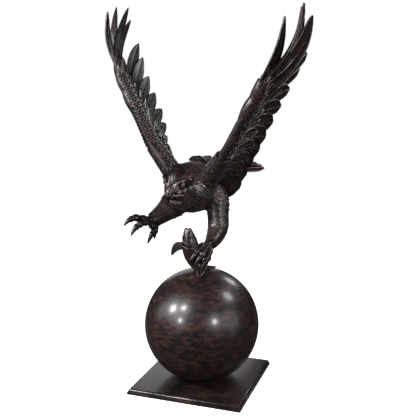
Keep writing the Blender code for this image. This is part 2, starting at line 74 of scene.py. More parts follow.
print("eagle alone, metres:", [round(b - a, 3) for a, b in zip(eagle_low, eagle_high)])

# %% [markdown]
# ## Working as by hand
# An operator acts on all that is selected, so each step starts with nothing selected.
# These helpers pick one object, select its corners by their place, start a grid, apply
# what modifiers do, shade, and join finished forms: the few moves that all pieces share.

# %% Helpers for selecting, applying and joining
def start_clean():
    if bpy.context.object and bpy.context.object.mode != "OBJECT":
        bpy.ops.object.mode_set(mode="OBJECT")
    bpy.ops.object.select_all(action="DESELECT")


def pick(item):
    start_clean()
    item.select_set(True)
    bpy.context.view_layer.objects.active = item


def edit(item, mode="VERT"):
    pick(item)
    bpy.ops.object.mode_set(mode="EDIT")
    bpy.ops.mesh.select_mode(type=mode)
    bpy.ops.mesh.select_all(action="DESELECT")


def select_corners(item, test):
    """In edit mode, select the corners whose place passes the test."""
    work = bmesh.from_edit_mesh(item.data)
    for corner in work.verts:
        corner.select = bool(test(corner.co))
    work.select_flush(True)
    work.select_flush(False)
    bmesh.update_edit_mesh(item.data)


def select_everything():
    bpy.ops.mesh.select_all(action="SELECT")


def close_edit():
    """Turn every face outwards and leave edit mode."""
    select_everything()
    bpy.ops.mesh.normals_make_consistent(inside=False)
    bpy.ops.object.mode_set(mode="OBJECT")


def start_grid(across, along):
    """A flat grid of length 1 along +Y and half width 1, left in edit mode."""
    start_clean()
    bpy.ops.mesh.primitive_grid_add(x_subdivisions=across, y_subdivisions=along, size=2.0,
                                    location=(0, 0, 0))
    item = bpy.context.object
    edit(item)
    select_everything()
    bpy.ops.transform.resize(value=(1.0, 0.5, 1.0))
    bpy.ops.transform.translate(value=(0.0, 0.5, 0.0))
    return item


def smooth_below(item, degrees):
    """Shade as smooth what bends by less than the angle."""
    pick(item)
    bpy.ops.object.shade_smooth_by_angle(angle=math.radians(degrees))


def apply_modifiers(item):
    pick(item)
    for change in list(item.modifiers):
        bpy.ops.object.modifier_apply(modifier=change.name)


def join(items, name):
    start_clean()
    for item in items:
        item.select_set(True)
    bpy.context.view_layer.objects.active = items[0]
    bpy.ops.object.join()
    items[0].name = name
    return items[0]


def mark(item, name, values):
    """Write one number per corner of the mesh, for the finish to read."""
    layer = item.data.attributes.get(name) or item.data.attributes.new(name, "FLOAT", "POINT")
    if isinstance(values, (int, float)):
        values = [float(values)] * len(item.data.vertices)
    layer.data.foreach_set("value", values)


# %% [markdown]
# ## Where the eagle stands
# The sculptor's model has its own frame between the shoulders: +X to the eagle's left,
# -Y the way it flies. It is turned and leaned on the ball. These joints are the ones the
# solids were built on, so the carved eagle fills the same space.

# %% The eagle's frame and its joints
BALL_TOP = Vector((0.0, 0.0, ball_high.z))
EAGLE_TURN = math.radians(-14.7)
EAGLE_LEAN = math.radians(4.0)
SHOULDERS = BALL_TOP + Vector((-0.098, 0.092, 0.373))
EAGLE = (Matrix.Translation(SHOULDERS) @ Matrix.Rotation(EAGLE_TURN, 4, "Z")
         @ Matrix.Rotation(EAGLE_LEAN, 4, "Y"))
TURN = EAGLE.to_3x3()

ARM_ROOT = Vector((0.048, 0.052, -0.066))
SHOULDER = Vector((0.088, 0.036, -0.020))
ELBOW = Vector((0.182, 0.008, 0.096))
WRIST = Vector((0.328, -0.024, 0.350))
HAND_END = Vector((0.372, -0.046, 0.455))


def at(x, y, z):
    """A point of the eagle's frame, on the finished object."""
    return EAGLE @ Vector((x, y, z))


def mirrored(point, side):
    """Side is 1 for the eagle's left and -1 for its right."""
    return Vector((point.x * side, point.y, point.z))


# %% [markdown]
# ## Round forms
# Body, arms, legs and toes are round forms of changing thickness. The easiest way to
# draw one is a path whose points carry a radius: the path is given a round bevel and
# turned into a mesh. Two or more such meshes are then fused by a voxel remesh, which
# runs them together the way modelling clay does.

# %% Draw a limb along a path
def smooth_curve(points, count):
    """Even stations on a curve through the points, which may carry a radius too."""
    last = len(points) - 1
    stations = []
    for step in range(count):
        place = step / (count - 1) * last
        i = min(int(place), last - 1)
        t = place - i
        a, b = points[max(i - 1, 0)], points[i]
        c, d = points[i + 1], points[min(i + 2, last)]
        stations.append(0.5 * (2 * b + (c - a) * t + (2 * a - 5 * b + 4 * c - d) * t ** 2
                               + (3 * b - a - 3 * c + d) * t ** 3))
    return stations


def with_radii(points, radii):
    return [Vector((*point, radius)) for point, radius in zip(points, radii)]


def limb(name, points, radii, stations=16, ring=3, flatten=None):
    """A round form along a path; flatten is (direction, share) to press it oval."""
    table = [(Vector(p[:3]), p[3]) for p in smooth_curve(with_radii(points, radii), stations)]
    start_clean()
    bpy.ops.curve.primitive_nurbs_path_add(location=(0, 0, 0))
    path = bpy.context.object
    path.name = name
    path.data.splines.clear()
    line = path.data.splines.new("POLY")
    line.points.add(len(table) - 1)
    for spot, (place, radius) in zip(line.points, table):
        spot.co = (*place, 1.0)
        spot.radius = max(radius, 1e-5)
    path.data.bevel_depth = 1.0
    path.data.bevel_resolution = ring
    path.data.use_fill_caps = True
    pick(path)
    bpy.ops.object.convert(target="MESH")
    item = bpy.context.object
    if flatten:
        direction, share = flatten
        middle = sum((place for place, _ in table), Vector()) / len(table)
        press = Matrix.Scale(share, 4, direction)
        item.data.transform(Matrix.Translation(middle) @ press @ Matrix.Translation(-middle))
    return item


def ball_at(name, place, radius, segments=24, scale=(1, 1, 1)):
    start_clean()
    bpy.ops.mesh.primitive_uv_sphere_add(segments=segments, ring_count=segments // 2,
                                         radius=radius, location=place, scale=scale)
    item = bpy.context.object
    item.name = name
    bpy.ops.object.transform_apply(location=True, rotation=True, scale=True)
    return item


def skin_of(item):
    """A copy of the surface that lines can be cast at."""
    return BVHTree.FromObject(item, bpy.context.evaluated_depsgraph_get())


def fuse(items, name, voxel, smoothing):
    """Run forms together as clay, then ease the surface."""
    item = join(items, name)
    clay = item.modifiers.new("clay", "REMESH")
    clay.mode = "VOXEL"
    clay.voxel_size = voxel
    ease = item.modifiers.new("ease", "SMOOTH")
    ease.factor = 0.5
    ease.iterations = smoothing
    apply_modifiers(item)
    return item


# %% [markdown]
# ## The body
# Torso, neck, arms and thighs of the real bird are one clay form under the feathers.
# Each is drawn as a limb at its place and all are fused, so the wings grow out of the
# shoulders without a seam.

# %% Where the torso, arms, legs and neck run
HEAD = (EAGLE @ Matrix.Translation((-0.003, -0.058, -0.038))
        @ Matrix.Rotation(math.radians(10), 4, "Z") @ Matrix.Rotation(math.radians(16), 4, "X")
        @ Matrix.Rotation(math.radians(4), 4, "Y"))
head_back = HEAD.inverted()
# back, raise, radius
BODY_LINE = ((0.228, -0.010, 0.016), (0.205, -0.026, 0.036), (0.165, -0.049, 0.066),
             (0.115, -0.066, 0.092), (0.060, -0.071, 0.101), (0.010, -0.064, 0.097),
             (-0.028, -0.051, 0.079), (-0.056, -0.040, 0.056))
# forward, raise, radius in the head's frame
NECK_LINE = ((-0.090, -0.032, 0.069), (-0.062, -0.018, 0.064), (-0.036, -0.010, 0.060),
             (-0.012, -0.006, 0.052), (0.004, -0.010, 0.042))
ARM_JOINTS = (ARM_ROOT, SHOULDER, ELBOW, (ELBOW + WRIST) / 2, WRIST, HAND_END)
ARM_RADII = (0.050, 0.035, 0.0245, 0.0215, 0.0190, 0.008)
ARM_FORWARD = (0.000, 0.010, 0.0125, 0.0140, 0.009, 0.002)
# across, back, raise, radius
LEGS = {1: ((0.056, 0.088, -0.066, 0.050), (0.088, 0.104, -0.124, 0.049),
            (0.100, 0.102, -0.178, 0.041), (0.108, 0.098, -0.226, 0.041),
            (0.118, 0.060, -0.262, 0.033), (0.128, 0.014, -0.280, 0.022),
            (0.144, -0.028, -0.276, 0.017)),
        -1: ((-0.052, 0.086, -0.090, 0.050), (-0.074, 0.034, -0.148, 0.056),
             (-0.084, -0.014, -0.176, 0.041), (-0.088, -0.060, -0.194, 0.033),
             (-0.090, -0.086, -0.200, 0.028), (-0.090, -0.112, -0.200, 0.017))}
SIDES = (1, -1)
BODY_VOXEL = 0.0078

# %% [markdown]
# Every limb is drawn on those lines. The neck belongs to this form, not to the head, so
# that the head can be carved finely and still sit in soft shoulders.

# %% Torso, neck, arms and legs, fused
body_path = [at(0.0, back, height) for back, height, _ in BODY_LINE]
body_radii = [radius for _, _, radius in BODY_LINE]
forms = [limb("torso", body_path, body_radii, 24, 6)]
for side in SIDES:
    arm = [EAGLE @ (mirrored(p, side) + Vector((0.0, -forward, 0.0)))
           for p, forward in zip(ARM_JOINTS, ARM_FORWARD)]
    forms.append(limb("arm", arm, ARM_RADII, 24, 4))
leg_paths = {}
for side in SIDES:
    leg_paths[side] = ([at(*row[:3]) for row in LEGS[side]], [row[3] for row in LEGS[side]])
    forms.append(limb("leg", *leg_paths[side], 24, 5))
neck_path = [HEAD @ Vector((0.0, -forward, height)) for forward, height, _ in NECK_LINE]
neck_radii = [radius for _, _, radius in NECK_LINE]
forms.append(limb("neck", neck_path, neck_radii, 16, 5))
body = fuse(forms, "body_form", BODY_VOXEL, 4)
mark(body, "rub_and_painted_light", 0.38)
body_tree = skin_of(body)
print("body form:", len(body.data.polygons), "faces")

# %% [markdown]
# ## The head
# An eagle's head is a rounded box with a heavy brow, a sunken eye and a hooked beak. It
# is modelled in its own frame from tapered limbs, and fused more finely than the body so
# that brow and beak stay crisp.

# %% Skull, cere, brows and beak
HEAD_VOXEL = 0.0035


def head_limb(name, table, stations=12, ring=4, narrow=None):
    """Rows are sideways, forward, raise, radius in the head's frame."""
    places = [HEAD @ Vector((x, -forward, z)) for x, forward, z, _ in table]
    flat = (HEAD.to_3x3() @ Vector((1, 0, 0)), narrow) if narrow else None
    return limb(name, places, [row[3] for row in table], stations, ring, flat)


skull = [
    head_limb("skull", ((0, -0.052, 0.002, 0.056), (0, -0.022, 0.004, 0.055),
                        (0, 0.006, 0.002, 0.048), (0, 0.028, -0.006, 0.036),
                        (0, 0.044, -0.012, 0.022)), 14, 6),
    head_limb("cere", ((0, 0.030, -0.006, 0.024), (0, 0.046, -0.006, 0.0235),
                       (0, 0.060, -0.010, 0.0195)), 8, 5, 0.92),
    head_limb("throat", ((0, -0.030, -0.070, 0.030), (0, -0.006, -0.068, 0.024),
                         (0, 0.014, -0.060, 0.018), (0, 0.030, -0.052, 0.012)), 10, 5),
    head_limb("beak", ((0, 0.036, -0.008, 0.026), (0, 0.052, -0.008, 0.0235),
                       (0, 0.067, -0.015, 0.0180), (0, 0.0765, -0.029, 0.0120),
                       (0, 0.0785, -0.046, 0.0068), (0, 0.0755, -0.062, 0.0014)), 20, 5, 0.88)]
for side in SIDES:
    for name, table, stations, ring in (
            ("forehead", ((0.018, -0.036, 0.014, 0.042), (0.022, -0.004, 0.010, 0.032),
                          (0.024, 0.018, 0.009, 0.023), (0.016, 0.034, 0.006, 0.016)), 10, 5),
            ("cheek", ((0.022, -0.030, -0.018, 0.038), (0.024, 0.002, -0.022, 0.029),
                       (0.024, 0.022, -0.026, 0.020), (0.014, 0.040, -0.025, 0.014)), 10, 5),
            ("brow", ((0.050, -0.006, 0.026, 0.004), (0.0485, 0.014, 0.0275, 0.0075),
                      (0.039, 0.030, 0.025, 0.0085), (0.026, 0.041, 0.018, 0.0065),
                      (0.016, 0.047, 0.011, 0.004)), 12, 3)):
        skull.append(head_limb(name, [(side * x, *rest) for x, *rest in table], stations, ring))
skull = fuse(skull, "head_form", HEAD_VOXEL, 2)
print("skull:", len(skull.data.polygons), "faces")

# %% [markdown]
# The founder cuts the eye sockets and the open mouth into the wax. Here a ball, and a
# flat ball leaned along the beak, are taken out with a Boolean.

# %% Eye sockets and mouth
def press_in(item, tool):
    """Take the tool's form out of the item."""
    press = item.modifiers.new("press", "BOOLEAN")
    press.operation = "DIFFERENCE"
    press.solver = "EXACT"
    press.object = tool
    apply_modifiers(item)
    bpy.data.objects.remove(tool, do_unlink=True)


for side in SIDES:
    press_in(skull, ball_at("socket", HEAD @ Vector((0.0470 * side, -0.0320, 0.0125)), 0.0145, 20))
mouth = ball_at("mouth", Vector((0, 0, 0)), 1.0, 28, (0.047, 0.035, 0.0062))
mouth.data.transform(HEAD @ Matrix.Translation((0, -0.0340, -0.0400))
                     @ Matrix.Rotation(math.radians(-17), 4, "X"))
press_in(skull, mouth)
print("with sockets and mouth:", len(skull.data.polygons), "faces")

# %% [markdown]
# What is small and crisp is laid on: the eyeball between two lids, the nostril, the
# lower half of the beak, a tuft under the throat, a ridge along the brow lit by a painted
# highlight, and the rubbed corner of the mouth. Each carries its own rub; the brow's
# painted highlight is brighter on the camera's side.

# %% Eyes, lids, lower beak and ridges
def add_to_head(item, rub_and_painted_light):
    mark(item, "rub_and_painted_light", rub_and_painted_light)
    head_pieces.append(item)


head_pieces = [skull]
LIDS = (((0.0465, 0.016, 0.0215), (0.0440, 0.028, 0.0235), (0.0340, 0.038, 0.0190)),
        ((0.0480, 0.014, 0.0070), (0.0455, 0.026, 0.0030), (0.0360, 0.036, 0.0050)))
LID_RADII = (0.002, 0.0030, 0.002)
for side in SIDES:
    add_to_head(ball_at("eye", HEAD @ Vector((0.0375 * side, -0.0250, 0.0130)), 0.0094, 20), 0.98)
    for lid in LIDS:
        rows = [(x * side, y, z, radius) for (x, y, z), radius in zip(lid, LID_RADII)]
        add_to_head(head_limb("lid", rows, 8, 3), 0.45)
    nostril = HEAD @ Vector((0.0185 * side, -0.0530, 0.0020))
    add_to_head(ball_at("nostril", nostril, 0.0040, 10), 0.10)
add_to_head(head_limb("lower_beak", (
    (0, 0.004, -0.068, 0.018), (0, 0.028, -0.0585, 0.0118), (0, 0.048, -0.0490, 0.0080),
    (0, 0.064, -0.0400, 0.0030)), 14, 5), 0.45)
for x, reach in ((-0.024, 0.026), (-0.014, 0.030), (-0.004, 0.032), (0.006, 0.032),
                 (0.016, 0.030), (0.026, 0.026)):
    add_to_head(head_limb("throat_tuft", ((x * 0.9, reach + 0.006, -0.062, 0.0050),
                                          (x * 1.1, reach, -0.074, 0.0062),
                                          (x * 1.2, reach - 0.008, -0.086, 0.0020)), 8, 3), 0.90)
# The brow ridge is a painted highlight, brighter on the camera's side; the gape is rubbed.
for side in SIDES:
    add_to_head(head_limb("brow_ridge", (
        (0.0480 * side, 0.022, 0.0340, 0.0012), (0.0450 * side, 0.028, 0.0330, 0.0020),
        (0.0390 * side, 0.035, 0.0305, 0.0023), (0.0285 * side, 0.044, 0.0245, 0.0020),
        (0.0205 * side, 0.050, 0.0175, 0.0014)), 12, 3), 0.72 if side > 0 else 0.40)
    add_to_head(head_limb("gape", (
        (0.0080 * side, 0.074, -0.0300, 0.0016), (0.0190 * side, 0.060, -0.0270, 0.0030),
        (0.0320 * side, 0.044, -0.0300, 0.0034), (0.0430 * side, 0.024, -0.0370, 0.0036),
        (0.0440 * side, 0.014, -0.0440, 0.0020)), 14, 3), 0.78)

# %% [markdown]
# The skull's rub is set by region: the cere beside the beak is lightened as bare metal
# and as a painted highlight, the culmen is a painted highlight on a worn line, and the
# sockets and the beak's underside are darkened as painted shade.

# %% Rub of the skull, with painted highlights and painted shade
def skull_rub_and_painted_light(place):
    sideways, back, height = head_back @ place
    forward, sideways = -back, abs(sideways)
    rub_and_painted_light = 0.20
    if height > 0.012 and forward > -0.01:
        rub_and_painted_light = 0.30
    # Beside the beak: the cere is rubbed metal with a painted highlight.
    if forward > 0.034 and height > -0.026:
        rub_and_painted_light = 0.36
        if sideways > 0.007 and height < 0.016:
            rub_and_painted_light = 0.82 if forward < 0.058 and height > -0.010 else 0.58
    # The culmen line: a painted highlight on a worn ridge.
    if sideways < 0.004 and forward > 0.056:
        rub_and_painted_light = 0.58
    # Under the beak: painted shade.
    if forward > 0.046 and height < -0.020:
        rub_and_painted_light = 0.10
    # In the eye sockets: painted shade.
    if sideways > 0.030 and forward > 0.014 and abs(height - 0.008) < 0.014:
        rub_and_painted_light = 0.0
    return rub_and_painted_light


mark(skull, "rub_and_painted_light", [skull_rub_and_painted_light(corner.co) for corner in skull.data.vertices])
head = join(head_pieces, "head_form")
head_tree = skin_of(head)
print("head form:", len(head.data.polygons), "faces")

# %% [markdown]
# ## One feather, modelled once
# Every feather of the casting has the same build: a raised quill down the middle, two
# dished vanes, and a rim with a thin bead. One is shaped from a grid, column by column
# for its relief and row by row for its outline. A mirrored copy gives the underside, and
# the two are bridged round the rim, so the feather is closed and shows from both sides.

# %% Shape a feather from a grid
RELIEF = 0.1


def outline_at(table, t):
    """Half width at a share of the length, straight between the table's rows."""
    for (t0, w0), (t1, w1) in zip(table, table[1:]):
        if t <= t1 + 1e-9:
            return w0 + (w1 - w0) * (t - t0) / (t1 - t0)
    return table[-1][1]


def model_feather(name, columns, along, outline, wear=1.0):
    """Length 1 along +Y and half width 1. Each column is its place and height on one side.
    The quill and the rim's bead are lightened as rubbed metal and as a painted highlight on these
    ridges, less so near the root."""
    item = start_grid(2 * (len(columns) - 1), along)
    item.name = name
    for index, (place, height) in reversed(list(enumerate(columns))):
        even = index / (len(columns) - 1)
        select_corners(item, lambda co: abs(abs(co.x) - even) < 0.01 and co.z == 0.0)
        if index:
            bpy.ops.transform.resize(value=(place / even, 1.0, 1.0),
                                     center_override=(0.0, 0.5, 0.0))
        bpy.ops.transform.translate(value=(0.0, 0.0, RELIEF * height))
    for row in range(along + 1):
        t = row / along
        select_corners(item, lambda co: abs(co.y - t) < 0.2 / along)
        bpy.ops.transform.resize(value=(outline_at(outline, t), 1.0, 1.0),
                                 center_override=(0.0, t, 0.0))
    select_everything()
    bpy.ops.mesh.duplicate()
    bpy.ops.transform.resize(value=(1.0, 1.0, -1.0), center_override=(0.0, 0.5, 0.0))
    bpy.ops.mesh.flip_normals()
    select_everything()
    bpy.ops.mesh.region_to_loop()
    bpy.ops.mesh.bridge_edge_loops()
    close_edit()
    rim = columns[-2][0] - 0.03
    rub_and_painted_light = []
    for corner in item.data.vertices:
        width = max(outline_at(outline, min(max(corner.co.y, 0.0), 1.0)), 1e-4)
        share = abs(corner.co.x) / width
        # Quill and rim: rubbed metal with a painted highlight on the ridge.
        proud = 0.90 if share < 0.03 else 0.95 if share > rim else 0.10
        fade = min(1.0, 0.4 + corner.co.y)
        rub_and_painted_light.append(proud * fade * wear)
    mark(item, "rub_and_painted_light", rub_and_painted_light)
    return item


# %% [markdown]
# The outlines differ: broad for the left wing's trailing feathers, leaf-shaped for the
# right's, blunt or bladed for the fingers, and short for coverts and curls. Three cross
# sections serve them all: a full one, a plainer one for coverts and one for curls.

# %% Model every kind of feather
FLIGHT_OUTLINE = ((0.0, 0.50), (0.30, 0.82), (0.60, 0.98), (0.80, 1.0), (0.91, 0.88),
                  (0.97, 0.58), (1.0, 0.10))
LEAF_OUTLINE = ((0.0, 0.60), (0.35, 0.86), (0.66, 1.0), (0.80, 0.90), (0.91, 0.60),
                (0.97, 0.30), (1.0, 0.03))
FINGER_OUTLINE = ((0.0, 0.80), (0.25, 1.0), (0.52, 0.98), (0.70, 0.82), (0.86, 0.54),
                  (0.95, 0.28), (1.0, 0.04))
BROAD_OUTLINE = ((0.0, 0.80), (0.25, 1.0), (0.56, 1.0), (0.76, 0.84), (0.89, 0.56),
                 (0.96, 0.30), (1.0, 0.04))
BLADE_OUTLINE = ((0.0, 0.90), (0.30, 1.0), (0.54, 0.80), (0.74, 0.54), (0.90, 0.28), (1.0, 0.03))
TAIL_OUTLINE = ((0.0, 0.48), (0.30, 0.68), (0.65, 0.92), (0.84, 1.0), (0.93, 0.80), (1.0, 0.12))
COVERT_OUTLINE = ((0.0, 0.55), (0.30, 0.88), (0.65, 1.0), (0.83, 0.84), (0.94, 0.50), (1.0, 0.08))

# place across and height of each column, from the quill to the rim
VANE = ((0.0, 1.0), (0.06, 0.40), (0.50, 0.24), (0.88, 0.28), (0.94, 0.70), (1.0, 0.36))
SMALL_VANE = ((0.0, 0.9), (0.10, 0.34), (0.85, 0.28), (0.92, 0.70), (1.0, 0.34))
CURL_VANE = ((0.0, 0.9), (0.50, 0.42), (0.86, 0.60), (1.0, 0.30))
flight = model_feather("flight", VANE, 15, FLIGHT_OUTLINE)
leaf = model_feather("leaf", VANE, 15, LEAF_OUTLINE)
finger = model_feather("finger", VANE, 15, FINGER_OUTLINE, 0.8)
broad_finger = model_feather("broad_finger", VANE, 15, BROAD_OUTLINE, 0.95)
blade = model_feather("blade", VANE, 15, BLADE_OUTLINE, 0.8)
tail_feather = model_feather("tail_feather", VANE, 10, TAIL_OUTLINE)
covert = model_feather("covert", SMALL_VANE, 8, COVERT_OUTLINE)
curl = model_feather("curl", CURL_VANE, 5, COVERT_OUTLINE)
print("flight feather:", len(flight.data.polygons), "faces")

# %% [markdown]
# ## Laying a feather in its place
# A copied feather has to follow the wing: its quill bends in the plane of the vane and
# the vane is dished out of it. Each copy gets its own mesh, and every corner is carried
# from the straight feather onto the bent path.

# %% Lay a copy along a bent quill
def lay(model, name, root, tip, normal, bow, camber, width, thickness, tilt=0.0, swell=0.0):
    """Bow bends the quill in the vane's plane and camber out of it. Tilt turns the vane
    about the quill, and swell lifts its middle."""
    run = tip - root
    length = run.length
    inward = run.cross(normal).normalized()
    across = Matrix.Rotation(tilt, 3, run) @ inward
    lift = run.normalized().cross(across) * -1.0
    mesh = model.data.copy()
    flat = np.empty(len(mesh.vertices) * 3)
    mesh.vertices.foreach_get("co", flat)
    flat = flat.reshape(-1, 3)
    x, t, z = flat[:, 0:1], flat[:, 1:2], flat[:, 2:3]
    arc = np.sin(np.pi * np.clip(t, 0.0, 1.0)) * length
    place = (np.array(root) + np.array(run) * t
             + (np.array(inward) * bow + np.array(normal) * camber) * arc
             + np.array(across) * x * width / 2 + np.array(lift) * z / RELIEF * thickness / 2
             + np.array(normal) * swell * (1 - x ** 2))
    mesh.vertices.foreach_set("co", place.ravel())
    item = bpy.data.objects.new(name, mesh)
    bpy.context.collection.objects.link(item)
    return item


# %% [markdown]
# Each wing needs a table of its feathers. Four finger tips, and a curve that ten more
# feathers end on, fix its outline. The roots are spread along the arm, and the face of
# each vane follows from its neighbours' tips, so the wing is cupped without a seam.

# %% Where the flight feathers stand
ARM_SPAN = (SHOULDER, ELBOW, WRIST, HAND_END)
FINGER_TIPS = [Vector(p) for p in (
    (0.411, -0.038, 0.617), (0.434, 0.042, 0.648), (0.415, 0.097, 0.658), (0.437, 0.140, 0.616))]
TRAILING_EDGE = [Vector(p) for p in (
    (0.409, 0.165, 0.497), (0.338, 0.166, 0.340), (0.262, 0.181, 0.188),
    (0.214, 0.160, 0.060), (0.128, 0.150, -0.098))]
FINGERS = len(FINGER_TIPS)
TRAILING_FEATHERS = 10
FAN_DIFFERENCE = 0.022


def arm_point(share, joints):
    """The point at a share of the length along the joints."""
    lengths = [(b - a).length for a, b in zip(joints, joints[1:])]
    left = share * sum(lengths)
    for a, b, length in zip(joints, joints[1:], lengths):
        if left <= length:
            return a.lerp(b, left / length)
        left -= length
    return joints[-1]


def wing_places(side):
    """Arm share, root, tip and vane normal of each flight feather, from the leading
    finger inwards. The normals point to the upper face."""
    tips = [tip.copy() for tip in FINGER_TIPS] + smooth_curve(TRAILING_EDGE, TRAILING_FEATHERS)
    for index in range(1, FINGERS):
        tips[index].z += side * FAN_DIFFERENCE * index / (FINGERS - 1)
    places = []
    for index, tip in enumerate(tips):
        share = max(0.98 - 0.040 * min(index, FINGERS) - 0.070 * max(index - FINGERS, 0), 0.06)
        root = arm_point(share, ARM_SPAN)
        after = tips[min(index + 1, len(tips) - 1)]
        before = tips[max(index - 1, 0)]
        normal = (tip - root).cross(after - before).normalized()
        places.append((share, EAGLE @ mirrored(root, side), EAGLE @ mirrored(tip, side),
                       TURN @ mirrored(normal, side)))
    return places


def wing_station(side, share):
    """Arm point, flight feather tip, face normal and arm direction at a share of the arm."""
    root = EAGLE @ mirrored(arm_point(share, ARM_SPAN), side)
    ahead = EAGLE @ mirrored(arm_point(min(share + 0.03, 1.0), ARM_SPAN), side)
    behind = EAGLE @ mirrored(arm_point(max(share - 0.03, 0.0), ARM_SPAN), side)
    places = wing_tables[side]
    for (high, _, tip_a, normal_a), (low, _, tip_b, normal_b) in zip(places, places[1:]):
        if low <= share <= high:
            part = (high - share) / (high - low)
            return (root, tip_a.lerp(tip_b, part), normal_a.lerp(normal_b, part).normalized(),
                    (ahead - behind).normalized())
    nearest = places[0] if share > places[0][0] else places[-1]
    return root, nearest[2], nearest[3], (ahead - behind).normalized()


wing_tables = {side: wing_places(side) for side in SIDES}
print("feathers in each wing's table:", len(wing_tables[1]))

# %% [markdown]
# ## The wings
# Four separate fingers lead each wing and ten broad feathers trail behind it. The
# camera sees the outer face of the left wing, whose feathers are broad and lap closely,
# and the upper face of the right wing, whose feathers are narrow and stand apart. Each
# wing has its own width, bow and rub: the left wing's rub is raised as painted light on
# its face, and the right wing's is lowered as painted shade.

# %% Flight feathers
# Least rub on the left wing's feathers: a floor that lightens its face as painted light.
LEFT_PAINTED_LIGHT_FLOOR = 0.42
LEFT_FINGER_PAINTED_LIGHT_FLOOR = 0.36
SHINGLE = math.radians(9)
FLIGHT_THICKNESS = 0.0095


def dull(item, share, least=0.0):
    """Lessen the rub, with its painted light, of one piece by a share, but not below the least."""
    values = np.empty(len(item.data.vertices), dtype=np.float32)
    item.data.attributes["rub_and_painted_light"].data.foreach_get("value", values)
    mark(item, "rub_and_painted_light", np.maximum(values * share, least))


def finger_feather(side, index, root, tip):
    """Model, width, bow, root and tip of one of the leading feathers."""
    pulled_in = 0.0095 if index == 3 and side > 0 else 0.002
    tip = tip - (tip - root).normalized() * pulled_in
    root = wing_station(side, 0.86 - 0.015 * index)[0]
    if side < 0:
        return finger, 0.038 + 0.003 * index, 0.03, root, tip
    model, width = (broad_finger, 0.084) if index else (blade, 0.074)
    return model, width, -0.03, root, tip


def trailing_feather(side, behind, tip):
    """The same for the feather that many places behind the last finger."""
    start = 0.61 - 0.060 * behind if side > 0 else 0.62 - 0.064 * behind
    root = wing_station(side, max(start, 0.03))[0]
    if side < 0:
        return leaf, 0.060, 0.03, root, tip
    if behind:
        tip = tip + (tip - root).normalized() * 0.004
    return flight, 0.112 if behind else 0.088, 0.13, root, tip


wing_pieces = []
for side in SIDES:
    flex = 0.03 if side > 0 else -0.06
    for index, (_, root, tip, normal) in enumerate(wing_tables[side]):
        behind = index - FINGERS
        if behind < 0:
            model, width, bow, root, tip = finger_feather(side, index, root, tip)
        else:
            model, width, bow, root, tip = trailing_feather(side, behind, tip)
        sweep_share = min(1.0, max(0.0, 1 - (behind + 1) / 4))
        camber = flex - (0.120 + flex) * sweep_share
        if index == 0:
            camber = -0.060 if side > 0 else -0.110
        wing_pieces.append(lay(model, "flight_feather", root, tip, normal, bow, camber, width,
                               FLIGHT_THICKNESS, SHINGLE * side))
        # The left wing keeps more rub over a floor, as painted light; the right wing keeps less, as
        # painted shade.
        shine, least = 0.60, 0.0
        if side > 0:
            least = LEFT_FINGER_PAINTED_LIGHT_FLOOR if behind < 0 else LEFT_PAINTED_LIGHT_FLOOR
            if index:
                shine = 0.74 if behind < 0 else 0.90 - 0.050 * behind
        dull(wing_pieces[-1], shine, least)
print("flight feathers:", len(wing_pieces))

# %% [markdown]
# On the real casting rows of coverts bury the roots of the flight feathers on both
# faces: long ones start along the arm and curve out, and a close row of small curled
# ones follows the bone. A row is one function, told how far it reaches, how much it bows
# and how high it lies. Two columns of short curled feathers wrap the right arm.

# %% Rows of coverts along the arm
ARM_SHARES = (0.0, 0.33, 0.58, 0.82, 1.0)
ARM_TABLE = tuple(zip(ARM_SHARES, ARM_RADII[1:], ARM_FORWARD[1:]))
UPPER, OUTER = 1, -1


def arm_tube(side, share):
    """Centre and radius of the arm's tube at a share of its length from the shoulder."""
    for (s0, r0, f0), (s1, r1, f1) in zip(ARM_TABLE, ARM_TABLE[1:]):
        if share <= s1:
            part = (share - s0) / (s1 - s0)
            forward = TURN @ Vector((0, -(f0 + (f1 - f0) * part), 0))
            return wing_station(side, share)[0] + forward, r0 + (r1 - r0) * part
    return wing_station(side, 1.0)[0], ARM_TABLE[-1][1]


def arm_station(side, share):
    """The wing's station, and with it the tube and the way back across the vane."""
    root, tip, normal, along = wing_station(side, share)
    back = (tip - root) - along * (tip - root).dot(along)
    return root, tip, normal, along, *arm_tube(side, share), back.normalized()


def covert_row(model, side, face, first, last, count, length, width, bow, lean, upward, seat,
               drop, thickness=0.0070):
    """One row on one face. Lean turns it from the flight feathers towards the arm's own
    direction, more so near the wrist by upward. Seat is how far it starts round the arm,
    and drop is its height at the tip."""
    turn = math.radians(seat)
    for index in range(count):
        share = first + (last - first) * index / (count - 1)
        root, tip, normal, along, centre, radius, back = arm_station(side, share)
        near = centre + normal * face * radius * math.cos(turn) + back * radius * math.sin(turn)
        turned = lean + upward * share
        aim = ((tip - root).normalized() * (1 - turned) + along * turned).normalized()
        far = near + aim * length
        far -= normal * ((far - root).dot(normal) - face * drop)
        wing_pieces.append(lay(model, "covert", near, far, normal, bow * side, 0.0, width,
                               thickness, SHINGLE * side, 0.002 * face))
        # Left-wing coverts are lightened over a floor as painted light; right-wing ones are dulled
        # as painted shade.
        if side > 0:
            dull(wing_pieces[-1], min(1.0, 0.50 + 0.9 * share), LEFT_PAINTED_LIGHT_FLOOR)
        else:
            dull(wing_pieces[-1], 0.60)


